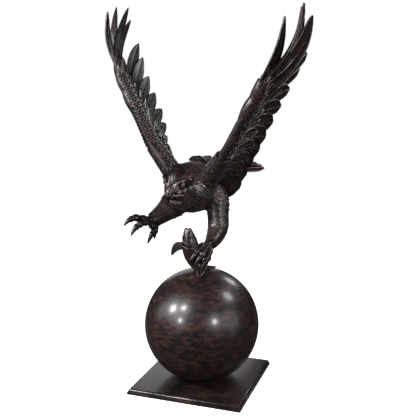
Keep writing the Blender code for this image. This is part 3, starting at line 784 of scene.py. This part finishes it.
def crescents(side, face, count, seat, length, width):
    """Short curled feathers that wrap the arm's tube in one column."""
    for index in range(count):
        share = 0.80 - 0.76 * index / (count - 1)
        _, _, normal, along, centre, radius, back = arm_station(side, share)
        rims = []
        for turn in (seat, seat + math.degrees(length / radius)):
            angle = math.radians(turn)
            out = normal * face * math.cos(angle) + back * math.sin(angle)
            rims.append(centre + out * (radius + 0.0045))
        out = ((rims[0] + rims[1]) / 2 - centre).normalized()
        wing_pieces.append(lay(curl, "crescent", rims[0], rims[1] + along * length * 0.5, out,
                               -0.20 * side, 0.30, width, 0.0105, 0.20 * side))
        dull(wing_pieces[-1], 0.84)


# model, first and last share, count, length, width, bow, more lean, seat, height at the tip
COVERT_ROWS = ((covert, 0.74, 0.05, 12, 0.122, 0.052, 0.14, 0.00, 30, 0.0070),
               (covert, 0.78, 0.05, 14, 0.086, 0.038, 0.15, 0.06, 12, 0.0105),
               (curl, 0.80, 0.05, 19, 0.052, 0.027, 0.18, 0.10, -4, 0.0130))
FAR_SIDE_SEAT = 22
for side in SIDES:
    lean = 0.30 + (0.05 if side > 0 else 0.35)
    upward = 0.35 if side > 0 else 0.15
    near_face = OUTER if side > 0 else UPPER
    for face in (UPPER, OUTER):
        extra = 0 if face == near_face else FAR_SIDE_SEAT
        for model, first, last, count, length, width, bow, more, seat, drop in COVERT_ROWS:
            covert_row(model, side, face, first, last, count, length, width, bow, lean + more,
                       upward, seat + extra, drop)
    covert_row(curl, side, OUTER, 0.60, 0.05, 22, 0.022, 0.016, 0.25, 0.60, 0.0, 2, 0.0190, 0.0085)
crescents(-1, UPPER, 20, -88, 0.032, 0.030)
crescents(-1, UPPER, 20, -34, 0.028, 0.028)
print("with coverts:", len(wing_pieces))

# %% [markdown]
# At the wrist the short feathers of the thumb make two overlapping lobes on the leading
# edge, and the upper arm wears a smooth sleeve of plumage with a crisp end at the elbow.
# Both are short limbs laid over the arm's tube.

# %% Thumb lobes and sleeves
THUMB_LOBES = ((0.700, 0.0255), (0.835, 0.0235))
LOBE_REACH = 0.17
LOBE_SHARES = (0.78, 0.98, 1.0, 0.82)
LOBE_FORWARD = TURN @ Vector((0.0, -1.0, 0.0)) * 0.004
smooth_parts = []
for side in SIDES:
    for last, radius in THUMB_LOBES:
        last += 0.035 if side > 0 else 0.0
        places = [arm_tube(side, last - LOBE_REACH + LOBE_REACH * step / 3)[0] + LOBE_FORWARD
                  for step in range(4)]
        radii = [radius * share for share in LOBE_SHARES]
        smooth_parts.append(limb("thumb_lobe", places, radii, 12, 5))
    sleeve = [arm_tube(side, share)[0] for share in (0.01, 0.09, 0.17, 0.24)]
    smooth_parts.append(limb("sleeve", sleeve, (0.0395, 0.0370, 0.0345, 0.0325), 12, 5))
wings = join(wing_pieces, "wing_feathers")
for item in smooth_parts:
    mark(item, "rub_and_painted_light", 0.46)
wings = join([wings, *smooth_parts], "wing_feathers")
print("wing feathers:", len(wings.data.polygons), "faces")

# %% [markdown]
# ## The tail
# The tail is a fan with the middle feather on top, and two short rows of coverts run
# from the rump onto it.

# %% Tail fan and its coverts
TAIL_ROOT = Vector((0.0, 0.185, -0.030))
TAIL_RISE = math.radians(11.5)
# count, length, spread in degrees, height over the root, width, model
TAIL_ROWS = ((9, 0.2265, 112, 0.0, 0.064, tail_feather), (9, 0.125, 96, 0.009, 0.044, covert),
             (7, 0.085, 84, 0.017, 0.038, covert))
rise = TURN @ Vector((0.0, -math.sin(TAIL_RISE), math.cos(TAIL_RISE)))
tail_pieces = []
for count, length, spread, raised, width, model in TAIL_ROWS:
    for index in range(count):
        offset = index - (count - 1) / 2
        angle = math.radians(spread) * offset / (count - 1)
        root = TAIL_ROOT + Vector((0.0, 0.0, raised - 0.0020 * abs(offset)))
        aim = Vector((math.sin(angle), math.cos(angle), math.tan(TAIL_RISE)))
        tilt = SHINGLE * (0 if offset == 0 else math.copysign(1, offset))
        tail_pieces.append(lay(model, "tail_feather", EAGLE @ root, EAGLE @ (root + aim * length),
                               rise, 0.0, 0.04, width, 0.0080, tilt))
print("tail feathers and coverts:", len(tail_pieces))
tail = join(tail_pieces, "tail_fan")
for item in (flight, leaf, finger, broad_finger, blade, tail_feather, covert, curl):
    bpy.data.objects.remove(item, do_unlink=True)

# %% [markdown]
# ## Small plumage
# Crown, neck, breast and thighs are covered by hundreds of small feathers like roof
# tiles. One is modelled with a few faces only, with a raised quill and a rubbed tip.

# %% Model the small feather
small = start_grid(2, 3)
for t, width in ((0.0, 0.80), (1 / 3, 1.0), (2 / 3, 0.92), (1.0, 0.34)):
    select_corners(small, lambda co: abs(co.y - t) < 0.1)
    bpy.ops.transform.resize(value=(width, 1.0, 1.0), center_override=(0.0, t, 0.0))
select_corners(small, lambda co: abs(co.x) < 0.01 and 0.1 < co.y < 0.9)
bpy.ops.transform.translate(value=(0.0, 0.0, 0.30))
select_corners(small, lambda co: co.y < 0.1)
bpy.ops.transform.translate(value=(0.0, 0.0, -0.25))
select_corners(small, lambda co: abs(co.x) < 0.01 and co.y > 0.9)
bpy.ops.transform.translate(value=(0.0, 0.10, 0.05))
select_everything()
bpy.ops.mesh.region_to_loop()
bpy.ops.mesh.edge_face_add()
close_edit()
SMALL_CORNERS = np.array([corner.co[:] for corner in small.data.vertices])
SMALL_FACES = [tuple(face.vertices) for face in small.data.polygons]
SMALL_RUB = [0.74 if y > 0.9 else 0.62 if y > 0.5 and abs(x) > 0.2 else 0.0
             for x, y, _ in SMALL_CORNERS]
bpy.data.objects.remove(small, do_unlink=True)
print("small feather:", len(SMALL_FACES), "faces")

# %% [markdown]
# Rings of copies are laid along each limb. A line is cast from the middle of the limb out
# to its skin, and where it comes out a copy is laid with its tip a little raised. The
# sizes differ a little by chance, and all copies of a limb are gathered in one mesh.

# %% Lay rings of small feathers along a limb
dice = random.Random(7)


def plumage(name, path, radii, row_step, width, length, tree, reach=1.7, raise_tip=13.0,
            keep=None):
    """Rings of small feathers from the start of the path to its end, where keep allows one."""
    fine = smooth_curve(with_radii(path, radii), 200)
    corners, faces, rubs = [], [], []
    walked, wanted, row = 0.0, 0.0, 0
    tilt = math.radians(raise_tip)
    for before, after in zip(fine, fine[1:]):
        step = Vector(after[:3]) - Vector(before[:3])
        walked += step.length
        if walked < wanted:
            continue
        wanted += row_step
        row += 1
        centre, radius, along = Vector(after[:3]), after[3], step.normalized()
        side = along.orthogonal().normalized()
        if abs(along.z) < 0.9:
            side = along.cross(Vector((0, 0, 1))).normalized()
        up = side.cross(along)
        count = max(6, round(2 * math.pi * radius / (width * 0.86)))
        for index in range(count):
            angle = 2 * math.pi * (index + 0.5 * (row % 2)) / count
            ray = side * math.cos(angle) + up * math.sin(angle)
            hit, normal, _, _ = tree.ray_cast(centre, ray, radius * reach + 0.004)
            if hit is None or normal.dot(ray) < 0.2 or (keep and not keep(hit)):
                continue
            aim = (along - normal * along.dot(normal)).normalized()
            wide = aim.cross(normal)
            tip = aim * math.cos(tilt) + normal * math.sin(tilt)
            out = wide.cross(tip)
            size = 1.0 + dice.uniform(-0.07, 0.07)
            base = hit - aim * length * 0.5 + normal * 0.0004
            local = SMALL_CORNERS * np.array([width / 2 * size, length * size, width * 0.30])
            placed = (np.array(base) + local[:, 0:1] * np.array(wide)
                      + local[:, 1:2] * np.array(tip) + local[:, 2:3] * np.array(out))
            first = len(corners)
            corners.extend(placed.tolist())
            faces.extend(tuple(first + i for i in face) for face in SMALL_FACES)
            rubs.extend(SMALL_RUB)
    mesh = bpy.data.meshes.new(name)
    mesh.from_pydata(corners, [], faces)
    item = bpy.data.objects.new(name, mesh)
    bpy.context.collection.objects.link(item)
    mark(item, "rub_and_painted_light", rubs)
    print(name, len(faces) // len(SMALL_FACES), "small feathers")
    return item


# %% [markdown]
# The rings run from the head towards the tail, and down the thighs, so that each feather
# points the way the real ones lie. Those of breast and neck keep off the face, and the
# crown's keep off the brows and the cere. They lie flatter there and are less rubbed.

# %% Breast, neck, thighs and crown
def off_face(place):
    """Behind the cheeks, or under the beak."""
    _, back, height = head_back @ place
    return back > 0.002 or height < -0.030


def on_crown(place):
    """Behind the cere and between the brows, then all round behind the eyes."""
    sideways, back, height = head_back @ place
    between_brows = back > -0.040 and height > 0.024 and abs(sideways) < 0.033
    return between_brows or (back > 0.004 and height > -0.030)


plumes = [plumage("breast", body_path[::-1], body_radii[::-1], 0.0115, 0.0155, 0.024, body_tree,
                  keep=off_face),
          plumage("neck", neck_path[::-1][1:], neck_radii[::-1][1:], 0.0088, 0.0125, 0.0185,
                  body_tree, reach=1.5, raise_tip=9.0, keep=off_face)]
for side in SIDES:
    path, radii = leg_paths[side]
    plumes.append(plumage("thigh", path[:-1], radii[:-1], 0.0095, 0.0125, 0.020, body_tree))
crown_path = [HEAD @ Vector((0.0, -forward, -0.004))
              for forward in (0.040, 0.012, -0.016, -0.044, -0.066)]
plumes.append(plumage("crown", crown_path, (0.030, 0.044, 0.052, 0.056, 0.058), 0.0115, 0.0110,
                      0.0300, head_tree, raise_tip=6.0, keep=on_crown))
dull(plumes[-1], 0.60)
small_plumage = join(plumes, "small_plumage")

# %% [markdown]
# ## Feet
# Each toe is a thick limb that swells at its joints, ringed by scutes, and ends in a
# hooked talon. The reaching foot is spread; the other closes round the fish.

# %% Toes and talons
LEFT_PALM = (0.016, 0.030, 0.088)
RIGHT_PALM = (-0.090, -0.112, -0.200)
# joints of each toe from its root to its tip
REACHING = (((-0.096, -0.148, -0.188), (-0.104, -0.184, -0.180), (-0.116, -0.204, -0.185)),
            ((-0.080, -0.150, -0.200), (-0.084, -0.182, -0.203), (-0.090, -0.198, -0.214)),
            ((-0.080, -0.108, -0.222), (-0.074, -0.098, -0.244), (-0.078, -0.110, -0.258)),
            ((-0.096, -0.092, -0.214), (-0.092, -0.070, -0.230), (-0.090, -0.072, -0.244)))
GRIPPING = (((0.000, 0.000, 0.086), (-0.010, -0.028, 0.074), (-0.014, -0.040, 0.066)),
            ((0.018, -0.004, 0.082), (0.014, -0.030, 0.066), (0.008, -0.042, 0.056)),
            ((0.030, 0.006, 0.072), (0.030, -0.016, 0.050), (0.024, -0.030, 0.034)),
            ((-0.012, 0.044, 0.082), (-0.040, 0.034, 0.068), (-0.052, 0.020, 0.060)))
TALON_BEND = 1.35
TOE_STATIONS = 22


def on_ball(x, y, z):
    """A point given from the top of the ball."""
    return BALL_TOP + Vector((x, y, z))


def talon(start, aim, curl_to, length, radius):
    """A hook that leaves along aim and bends round to curl_to."""
    reach = length / TALON_BEND
    places, radii = [], []
    for step in range(7):
        bend = TALON_BEND * step / 6
        places.append(start + aim * reach * math.sin(bend) + curl_to * reach * (1 - math.cos(bend)))
        radii.append(radius * (1 - 0.86 * (step / 6) ** 1.6))
    return limb("talon", places, radii, 12, 3)


def toe(points, curl_to):
    """A toe with pads at its joints and scutes along it, and its talon."""
    places = smooth_curve(points, TOE_STATIONS)
    radii = []
    for step in range(TOE_STATIONS):
        t = step / (TOE_STATIONS - 1)
        pad = 0.0142 + 0.0020 * math.cos(2 * math.pi * t * (len(points) - 1))
        radii.append(pad * (1.0 - 0.040 * (step % 2)))
    radii[-1] *= 0.85
    form = limb("toe", places, radii, 43, 3)
    aim = (points[-1] - points[-2]).normalized()
    claw = talon(points[-1] - aim * 0.007, aim, curl_to, 0.039, 0.0118)
    mark(form, "rub_and_painted_light", 0.28)
    mark(claw, "rub_and_painted_light", 0.22)
    return [form, claw]


foot_pieces = []
down = (TURN @ Vector((0.0, -0.25, -1.0))).normalized()
for points in REACHING:
    foot_pieces += toe([at(*p) for p in (RIGHT_PALM, *points)], down)
grip = Vector((-0.55, 0.10, -1.0)).normalized()
for points in GRIPPING:
    foot_pieces += toe([on_ball(*p) for p in (LEFT_PALM, *points)], grip)
for centre in (at(*RIGHT_PALM), on_ball(*LEFT_PALM)):
    palm = ball_at("palm", centre, 0.019, 20)
    mark(palm, "rub_and_painted_light", 0.4)
    foot_pieces.append(palm)
feet = join(foot_pieces, "feet")
print("feet:", len(feet.data.polygons), "faces")

# %% [markdown]
# ## The fish
# The fish stands nearly upright, held round its middle, its tail flat on the ball. Its
# body is an oval limb with an open mouth, and its fins are thin ribbed blades.

# %% Fish body and mouth
# across, back, height over the ball, radius
SPINE = ((-0.047, -0.026, 0.162, 0.0115), (-0.045, -0.025, 0.142, 0.0225),
         (-0.042, -0.022, 0.112, 0.0315), (-0.038, -0.020, 0.080, 0.0345),
         (-0.029, -0.018, 0.048, 0.0320), (-0.012, -0.018, 0.020, 0.0255),
         (0.010, -0.020, 0.008, 0.0170), (0.030, -0.022, 0.004, 0.0115))
FISH_VOXEL = 0.0034
spine = [on_ball(*row[:3]) for row in SPINE]
fish_head = [limb("fish_body", spine, [row[3] for row in SPINE], 30, 6,
                  (Vector((0.30, -0.95, 0.0)).normalized(), 0.90))]
for lip in (-1, 1):
    places = [on_ball(-0.045 + 0.010 * lip, -0.026, 0.140),
              on_ball(-0.0465 + 0.008 * lip, -0.028, 0.160),
              on_ball(-0.0470 + 0.006 * lip, -0.028, 0.170)]
    fish_head.append(limb("lip", places, (0.014, 0.0095, 0.004), 8, 3))
fish_body = fuse(fish_head, "fish_body", FISH_VOXEL, 3)
press_in(fish_body, ball_at("mouth", on_ball(-0.0470, -0.030, 0.173), 0.011, 16, (0.36, 2.6, 1.15)))
fish_tree = skin_of(fish_body)
print("fish body:", len(fish_body.data.polygons), "faces")

# %% [markdown]
# Eyes are small balls. Lines are cast at the body from half a circle round its front, and
# a thin limb laid where they land makes each gill ridge. The fins are copies of one blade.

# %% Eyes, gills and fins
fish_pieces = [fish_body]
for side in (-1, 1):
    place = on_ball(-0.0435 + 0.017 * side, -0.044, 0.135)
    fish_pieces.append(ball_at("fish_eye", place, 0.0058, 14))
for height, sag, radius in ((0.128, 0.020, 0.0032), (0.108, 0.018, 0.0022)):
    arc = []
    for step in range(9):
        angle = math.radians(-84 + 21 * step)
        ray = Vector((math.sin(angle + 0.32), -math.cos(angle + 0.32), 0.0))
        centre = on_ball(-0.043, -0.022, height - sag * math.cos(angle))
        hit = fish_tree.ray_cast(centre + ray * 0.08, -ray, 0.08)[0]
        if hit is not None:
            arc.append(hit + ray * 0.0005)
    radii = [radius * (0.4 + 0.6 * math.sin(math.pi * (i + 0.5) / len(arc)))
             for i in range(len(arc))]
    band = limb("gill", arc, radii, 18, 3)
    mark(band, "rub_and_painted_light", 0.52)
    fish_pieces.append(band)
side_face = Vector((0.20, -0.95, 0.25)).normalized()
flat_face = Vector((0.05, -0.25, 1.0)).normalized()
FIN_OUTLINE = ((0.0, 0.85), (0.35, 1.0), (0.68, 0.75), (0.90, 0.40), (1.0, 0.05))
FIN_VANE = ((0.0, 0.45), (0.12, 0.30), (0.25, 0.45), (0.40, 0.28), (0.55, 0.42), (0.75, 0.26),
            (1.0, 0.30))
# root, tip, width, bow, the way the fin faces
FINS = (((-0.060, -0.022, 0.096), (-0.122, -0.020, 0.048), 0.038, 0.20, side_face),
        ((-0.018, 0.004, 0.092), (-0.008, 0.052, 0.052), 0.038, -0.20, side_face),
        ((0.006, -0.014, 0.010), (0.060, 0.002, 0.013), 0.030, 0.12, side_face),
        ((-0.004, -0.020, 0.008), (0.016, -0.082, -0.0105), 0.036, -0.10, flat_face))
fin = model_feather("fin", FIN_VANE, 10, FIN_OUTLINE, 0.7)
for root, tip, width, bow, face in FINS:
    fish_pieces.append(lay(fin, "fish_fin", on_ball(*root), on_ball(*tip), face, bow, 0.03, width,
                           0.006))
bpy.data.objects.remove(fin, do_unlink=True)
for item in fish_pieces:
    if "rub_and_painted_light" not in item.data.attributes:
        mark(item, "rub_and_painted_light", 0.35)
fish = join(fish_pieces, "fish")
print("fish:", len(fish.data.polygons), "faces")

# %% [markdown]
# ## One casting
# Foundries weld and chase the eagle and its fish into one casting, so all of its forms
# become one piece. It stands for the measured solid, which stays in the physics model.

# %% Join the casting
eagle = join([body, head, wings, tail, small_plumage, feet, fish], "eagle_and_fish_casting")
smooth_below(eagle, 46)
triangles = sum(len(face.vertices) - 2 for face in eagle.data.polygons)
print("eagle casting:", triangles, "triangles")
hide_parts("eagle_with_fish")
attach(eagle, "root")

# %% [markdown]
# ## The ball
# The ball is spun smooth, so its outline must be a true circle. A fine sphere is cut
# flat where it meets the plinth, as the real one must be to sit there. What holds it
# can't be seen, so nothing more is made.

# %% Ball with its seat
ball_radius = (ball_high.x - ball_low.x) / 2
ball_centre = Vector((0.0, 0.0, ball_high.z - ball_radius))
ball = ball_at("ball_casting", ball_centre, ball_radius, 128)
edit(ball)
select_everything()
bpy.ops.mesh.bisect(plane_co=(0, 0, ball_low.z), plane_no=(0, 0, 1), use_fill=True,
                    clear_inner=True)
bpy.ops.object.mode_set(mode="OBJECT")
smooth_below(ball, 40)
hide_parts("ball")
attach(ball, "root")
print("ball diameter:", round(2 * ball_radius, 3))

# %% [markdown]
# ## The plinth
# The plinth is a flat plate with a low skirt, a step, and a rounded upper edge. A block
# is cut to the skirt's height, the step is made by insetting and raising its top, and
# the upper edge is rounded as the pattern maker's plane would. A fine Bevel modifier
# then breaks the sharp edges that are left.

# %% Plinth plate
SKIRT_HEIGHT = 0.009
STEP_IN = 0.0035
EDGE_ROUND = 0.009
start_clean()
width, depth, _ = plinth_high - plinth_low
bpy.ops.mesh.primitive_cube_add(size=1.0, location=(0, 0, SKIRT_HEIGHT / 2),
                                scale=(width, depth, SKIRT_HEIGHT))
plinth = bpy.context.object
plinth.name = "plinth_plate"
bpy.ops.object.transform_apply(location=True, rotation=True, scale=True)
edit(plinth, "FACE")
select_corners(plinth, lambda co: co.z > SKIRT_HEIGHT * 0.9)
bpy.ops.mesh.inset(thickness=STEP_IN, depth=0.0)
raise_top = {"value": (0, 0, plinth_high.z - SKIRT_HEIGHT)}
bpy.ops.mesh.extrude_region_move(TRANSFORM_OT_translate=raise_top)
bpy.ops.mesh.select_all(action="DESELECT")
bpy.ops.mesh.select_mode(type="EDGE")
select_corners(plinth, lambda co: co.z > plinth_high.z - 0.001)
bpy.ops.mesh.bevel(offset=EDGE_ROUND, segments=8, profile=0.5, affect="EDGES")
close_edit()
soften = plinth.modifiers.new("soften", "BEVEL")
soften.width = 0.0008
soften.segments = 2
soften.limit_method = "ANGLE"
soften.angle_limit = math.radians(50)
apply_modifiers(plinth)
smooth_below(plinth, 30)
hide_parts("plinth")
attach(plinth, "root")
print("plinth plate:", [round(side, 3) for side in plinth_high - plinth_low])

# %% [markdown]
# ## The patina
# A bronze patina is laid over aluminium in layers: nearly black brown in the hollows,
# reddish brown where the brush has rubbed it back, and a clear wax over all of it. The
# colour break-up is the same effect on every casting, so it is one node group with its
# own scale and streak, and each material gives it its own values.

# %% The shared patina group
def connect(tree, node, feeds):
    """Each feed is a value or another node's output, by the input's name or number."""
    for name, feed in feeds.items():
        if isinstance(feed, bpy.types.NodeSocket):
            tree.links.new(feed, node.inputs[name])
        else:
            node.inputs[name].default_value = feed


def add_node(tree, kind, feeds, **settings):
    node = tree.nodes.new("ShaderNode" + kind)
    for name, value in settings.items():
        setattr(node, name, value)
    connect(tree, node, feeds)
    return node


PATINA = bpy.data.node_groups.new("rubbed_patina", "ShaderNodeTree")
for name, kind, value in (
        ("Scale", "Float", 12.0), ("Stretch", "Vector", (1, 1, 1)), ("Rub and Painted Light", "Float", 0.2),
        ("Polish", "Float", 0.3), ("Dark", "Color", (0.006, 0.004, 0.004, 1)),
        ("Brown", "Color", (0.05, 0.022, 0.015, 1)), ("Bright", "Color", (0.25, 0.13, 0.09, 1))):
    made = PATINA.interface.new_socket(name=name, in_out="INPUT", socket_type="NodeSocket" + kind)
    made.default_value = value
for name, kind in (("Color", "Color"), ("Roughness", "Float"), ("Height", "Float")):
    PATINA.interface.new_socket(name=name, in_out="OUTPUT", socket_type="NodeSocket" + kind)
given = PATINA.nodes.new("NodeGroupInput").outputs
put = PATINA.nodes.new("NodeGroupOutput")
place = add_node(PATINA, "TexCoord", {})
stretched = add_node(PATINA, "VectorMath", {}, operation="MULTIPLY")
connect(PATINA, stretched, {0: place.outputs["Object"], 1: given["Stretch"]})
cloud = add_node(PATINA, "TexNoise", {"Detail": 5.0, "Roughness": 0.70, "Scale": given["Scale"],
                                      "Vector": stretched.outputs[0]})
fine = add_node(PATINA, "TexNoise", {"Detail": 3.0, "Scale": 160.0,
                                     "Vector": stretched.outputs[0]})
patch = add_node(PATINA, "MapRange", {"From Min": 0.40, "From Max": 0.72,
                                      "Value": cloud.outputs["Fac"]},
                 interpolation_type="SMOOTHSTEP")
under = add_node(PATINA, "Mix", {"Factor": patch.outputs["Result"], "A": given["Dark"],
                                 "B": given["Brown"]}, data_type="RGBA")
grain = add_node(PATINA, "Math", {0: fine.outputs["Fac"], 1: 0.9, 2: -0.42},
                 operation="MULTIPLY_ADD")
# Rub plus grain: wear, and on the eagle also painted highlights and painted shade.
grained_rub_and_painted_light = add_node(PATINA, "Math", {0: grain.outputs[0], 1: given["Rub and Painted Light"]}, operation="ADD",
                  use_clamp=True)
keen = add_node(PATINA, "MapRange", {"From Min": 0.45, "From Max": 1.0,
                                     "Value": grained_rub_and_painted_light.outputs[0]},
                interpolation_type="SMOOTHSTEP")
over = add_node(PATINA, "Mix", {"Factor": keen.outputs["Result"], "A": under.outputs["Result"],
                                "B": given["Bright"]}, data_type="RGBA")
gloss = add_node(PATINA, "Math", {0: cloud.outputs["Fac"], 1: 0.18, 2: given["Polish"]},
                 operation="MULTIPLY_ADD")
connect(PATINA, put, {"Color": over.outputs["Result"], "Roughness": gloss.outputs[0],
                      "Height": fine.outputs["Fac"]})
print("patina group:", len(PATINA.nodes), "nodes")

# %% [markdown]
# Each casting gets its own colours and sheen. The eagle reads its rub from the mesh: toes
# and quills are worn, and rims, quills, brows and cere also carry a painted highlight, the
# left wing is lightened as painted light, and the sockets and the right wing are darkened
# as painted shade. Ball and plinth are rubbed evenly, and the ball's patches are drawn out
# into streaks. Cast metal under wax mirrors only faintly.

# %% The three finishes
EVEN_RUB = 0.30


def patinated(name, scale, stretch, dark, brown, bright, polish, rub_from_mesh=False, coat=0.30,
              wax=0.14, metallic=0.20):
    """Coat is the wax's weight and wax its roughness. The mesh flag reads the rub from the mesh,
    with its painted highlights and painted shade.
    """
    finish = bpy.data.materials.new(name)
    finish.use_nodes = True
    tree = finish.node_tree
    patina = add_node(tree, "Group", {}, node_tree=PATINA)
    bump = add_node(tree, "Bump", {"Strength": 0.40, "Distance": 0.0008,
                                   "Height": patina.outputs["Height"]})
    rub_and_painted_light = EVEN_RUB
    if rub_from_mesh:
        rub_and_painted_light = add_node(tree, "Attribute", {}, attribute_name="rub_and_painted_light").outputs["Fac"]
    connect(tree, patina, {"Scale": scale, "Stretch": stretch, "Polish": polish, "Rub and Painted Light": rub_and_painted_light,
                           "Dark": (*dark, 1.0), "Brown": (*brown, 1.0), "Bright": (*bright, 1.0)})
    connect(tree, tree.nodes["Principled BSDF"],
            {"Metallic": metallic, "IOR": 1.45, "Coat Weight": coat, "Coat Roughness": wax,
             "Base Color": patina.outputs["Color"], "Roughness": patina.outputs["Roughness"],
             "Normal": bump.outputs["Normal"]})
    return finish


def finish_with(item, material):
    item.data.materials.clear()
    item.data.materials.append(material)
    for face in item.data.polygons:
        face.material_index = 0


# The eagle's bright colour is a pale silver-pink: rubbed metal, and a painted highlight on rims and
# ridges.
finish_with(eagle, patinated(
    "eagle_bronze_patina", 26.0, (1, 1, 1), (0.0045, 0.0036, 0.0042), (0.038, 0.0145, 0.0095),
    (0.28, 0.212, 0.19), 0.27, rub_from_mesh=True, coat=0.22, wax=0.22, metallic=0.25))
finish_with(ball, patinated(
    "ball_streaked_patina", 30.0, (1.0, 1.0, 2.6), (0.0055, 0.0040, 0.0048),
    (0.058, 0.0205, 0.0115), (0.16, 0.058, 0.032), 0.27, wax=0.17, metallic=0.10))
finish_with(plinth, patinated(
    "plinth_patina", 10.0, (1.5, 1.5, 1.5), (0.0080, 0.0058, 0.0060), (0.042, 0.0215, 0.0155),
    (0.13, 0.07, 0.048), 0.20, coat=0.34, wax=0.12))
print("finishes:", [item.data.materials[0].name for item in (eagle, ball, plinth)])

# %% [markdown]
# ## Studio
# The statue stands on a plain pale floor in a pale room. Both are bright to the camera
# only: to the metal they are dim, or the ball would mirror them white.

# %% Floor and room
SEEN_FLOOR, DIM_FLOOR = (0.86, 0.86, 0.86, 1), (0.055, 0.052, 0.052, 1)
SEEN_ROOM, DIM_ROOM = (1.0, 1.0, 1.0, 1), (0.042, 0.047, 0.060, 1)


def bright_to_camera(tree, dim, seen):
    """The light path, and a mix that shows one colour to the camera and one to the rest."""
    path = add_node(tree, "LightPath", {})
    tone = add_node(tree, "Mix", {}, data_type="RGBA")
    connect(tree, tone, {"Factor": path.outputs["Is Camera Ray"], "A": dim, "B": seen})
    return path, tone


start_clean()
bpy.ops.mesh.primitive_plane_add(size=60.0, location=(0, 0, 0))
floor = bpy.context.object
floor.name = "studio_floor"
pale = bpy.data.materials.new("pale_floor")
pale.use_nodes = True
tree = pale.node_tree
path, tone = bright_to_camera(tree, DIM_FLOOR, SEEN_FLOOR)
glow = add_node(tree, "Math", {0: path.outputs["Is Camera Ray"], 1: 0.95}, operation="MULTIPLY")
connect(tree, tree.nodes["Principled BSDF"],
        {"Roughness": 0.9, "Specular IOR Level": 0.1, "Emission Color": (1, 1, 1, 1),
         "Base Color": tone.outputs["Result"], "Emission Strength": glow.outputs[0]})
floor.data.materials.append(pale)

world = bpy.data.worlds.new("soft_room")
bpy.context.scene.world = world
world.use_nodes = True
_, tone = bright_to_camera(world.node_tree, DIM_ROOM, SEEN_ROOM)
connect(world.node_tree, world.node_tree.nodes["Background"], {"Color": tone.outputs["Result"]})
bpy.context.scene.view_settings.view_transform = "Standard"

# %% [markdown]
# The lamps are placed where the ball mirrors them: three in front to the left, one in
# front to the right and two behind to the right. Three large dim ones, hidden from the
# camera, lift the sides and the back of the wings.

# %% Lamps
AIM = Vector((0.0, 0.0, 0.5))
LAMP_DISTANCE = 3.2
LAMP_COLOUR = (0.93, 0.96, 1.0)
# azimuth, elevation, size, power, hidden from the camera
LAMPS = ((-52.6, 28.6, 0.62, 88, 0), (-28.1, 39.7, 0.52, 58, 0), (-25.5, 15.7, 0.38, 36, 0),
         (45.9, 17.3, 0.42, 42, 0), (112.5, 44.1, 0.90, 32, 0), (164.3, 25.8, 0.70, 12, 0),
         (206.0, 9.0, 1.9, 9, 1), (-75.0, 12.0, 1.2, 8, 1), (80.0, 12.0, 2.2, 22, 1))


def direction(azimuth, elevation):
    """From the statue outwards; azimuth 0 is -Y, the front, and 90 is +X."""
    a, e = math.radians(azimuth), math.radians(elevation)
    return Vector((math.sin(a) * math.cos(e), -math.cos(a) * math.cos(e), math.sin(e)))


for azimuth, elevation, size, power, hidden in LAMPS:
    away = direction(azimuth, elevation)
    start_clean()
    bpy.ops.object.light_add(type="AREA", location=AIM + away * LAMP_DISTANCE)
    lamp = bpy.context.object
    lamp.data.shape = "DISK"
    lamp.data.size = size
    lamp.data.energy = power
    lamp.data.color = LAMP_COLOUR
    lamp.visible_camera = not hidden
    lamp.rotation_euler = away.to_track_quat("Z", "Y").to_euler()
print("lamps:", len(LAMPS))

# %% [markdown]
# The camera stands to the eagle's left of the front and a little above. Its angle,
# distance and lens were fitted so that plinth, ball and feather tips fall where the
# photograph has them.

# %% Camera at the photograph's angle
AZIMUTH, ELEVATION = 18.94, 10.85
DISTANCE = 2.7718
SHIFT_RIGHT, SHIFT_UP = 0.0251, 0.6806
back = direction(AZIMUTH, ELEVATION)
right = Vector((math.cos(math.radians(AZIMUTH)), math.sin(math.radians(AZIMUTH)), 0.0))
up = back.cross(right)
start_clean()
bpy.ops.object.camera_add()
camera = bpy.context.object
camera.data.sensor_width = 36.0
camera.data.lens = 58.33
place = (right * SHIFT_RIGHT + up * SHIFT_UP + Vector((0, 0, plinth_high.z))
         + back * DISTANCE)
camera.matrix_world = Matrix.Translation(place) @ Matrix((right, up, back)).transposed().to_4x4()
bpy.context.scene.camera = camera
print("camera at:", [round(c, 3) for c in place])
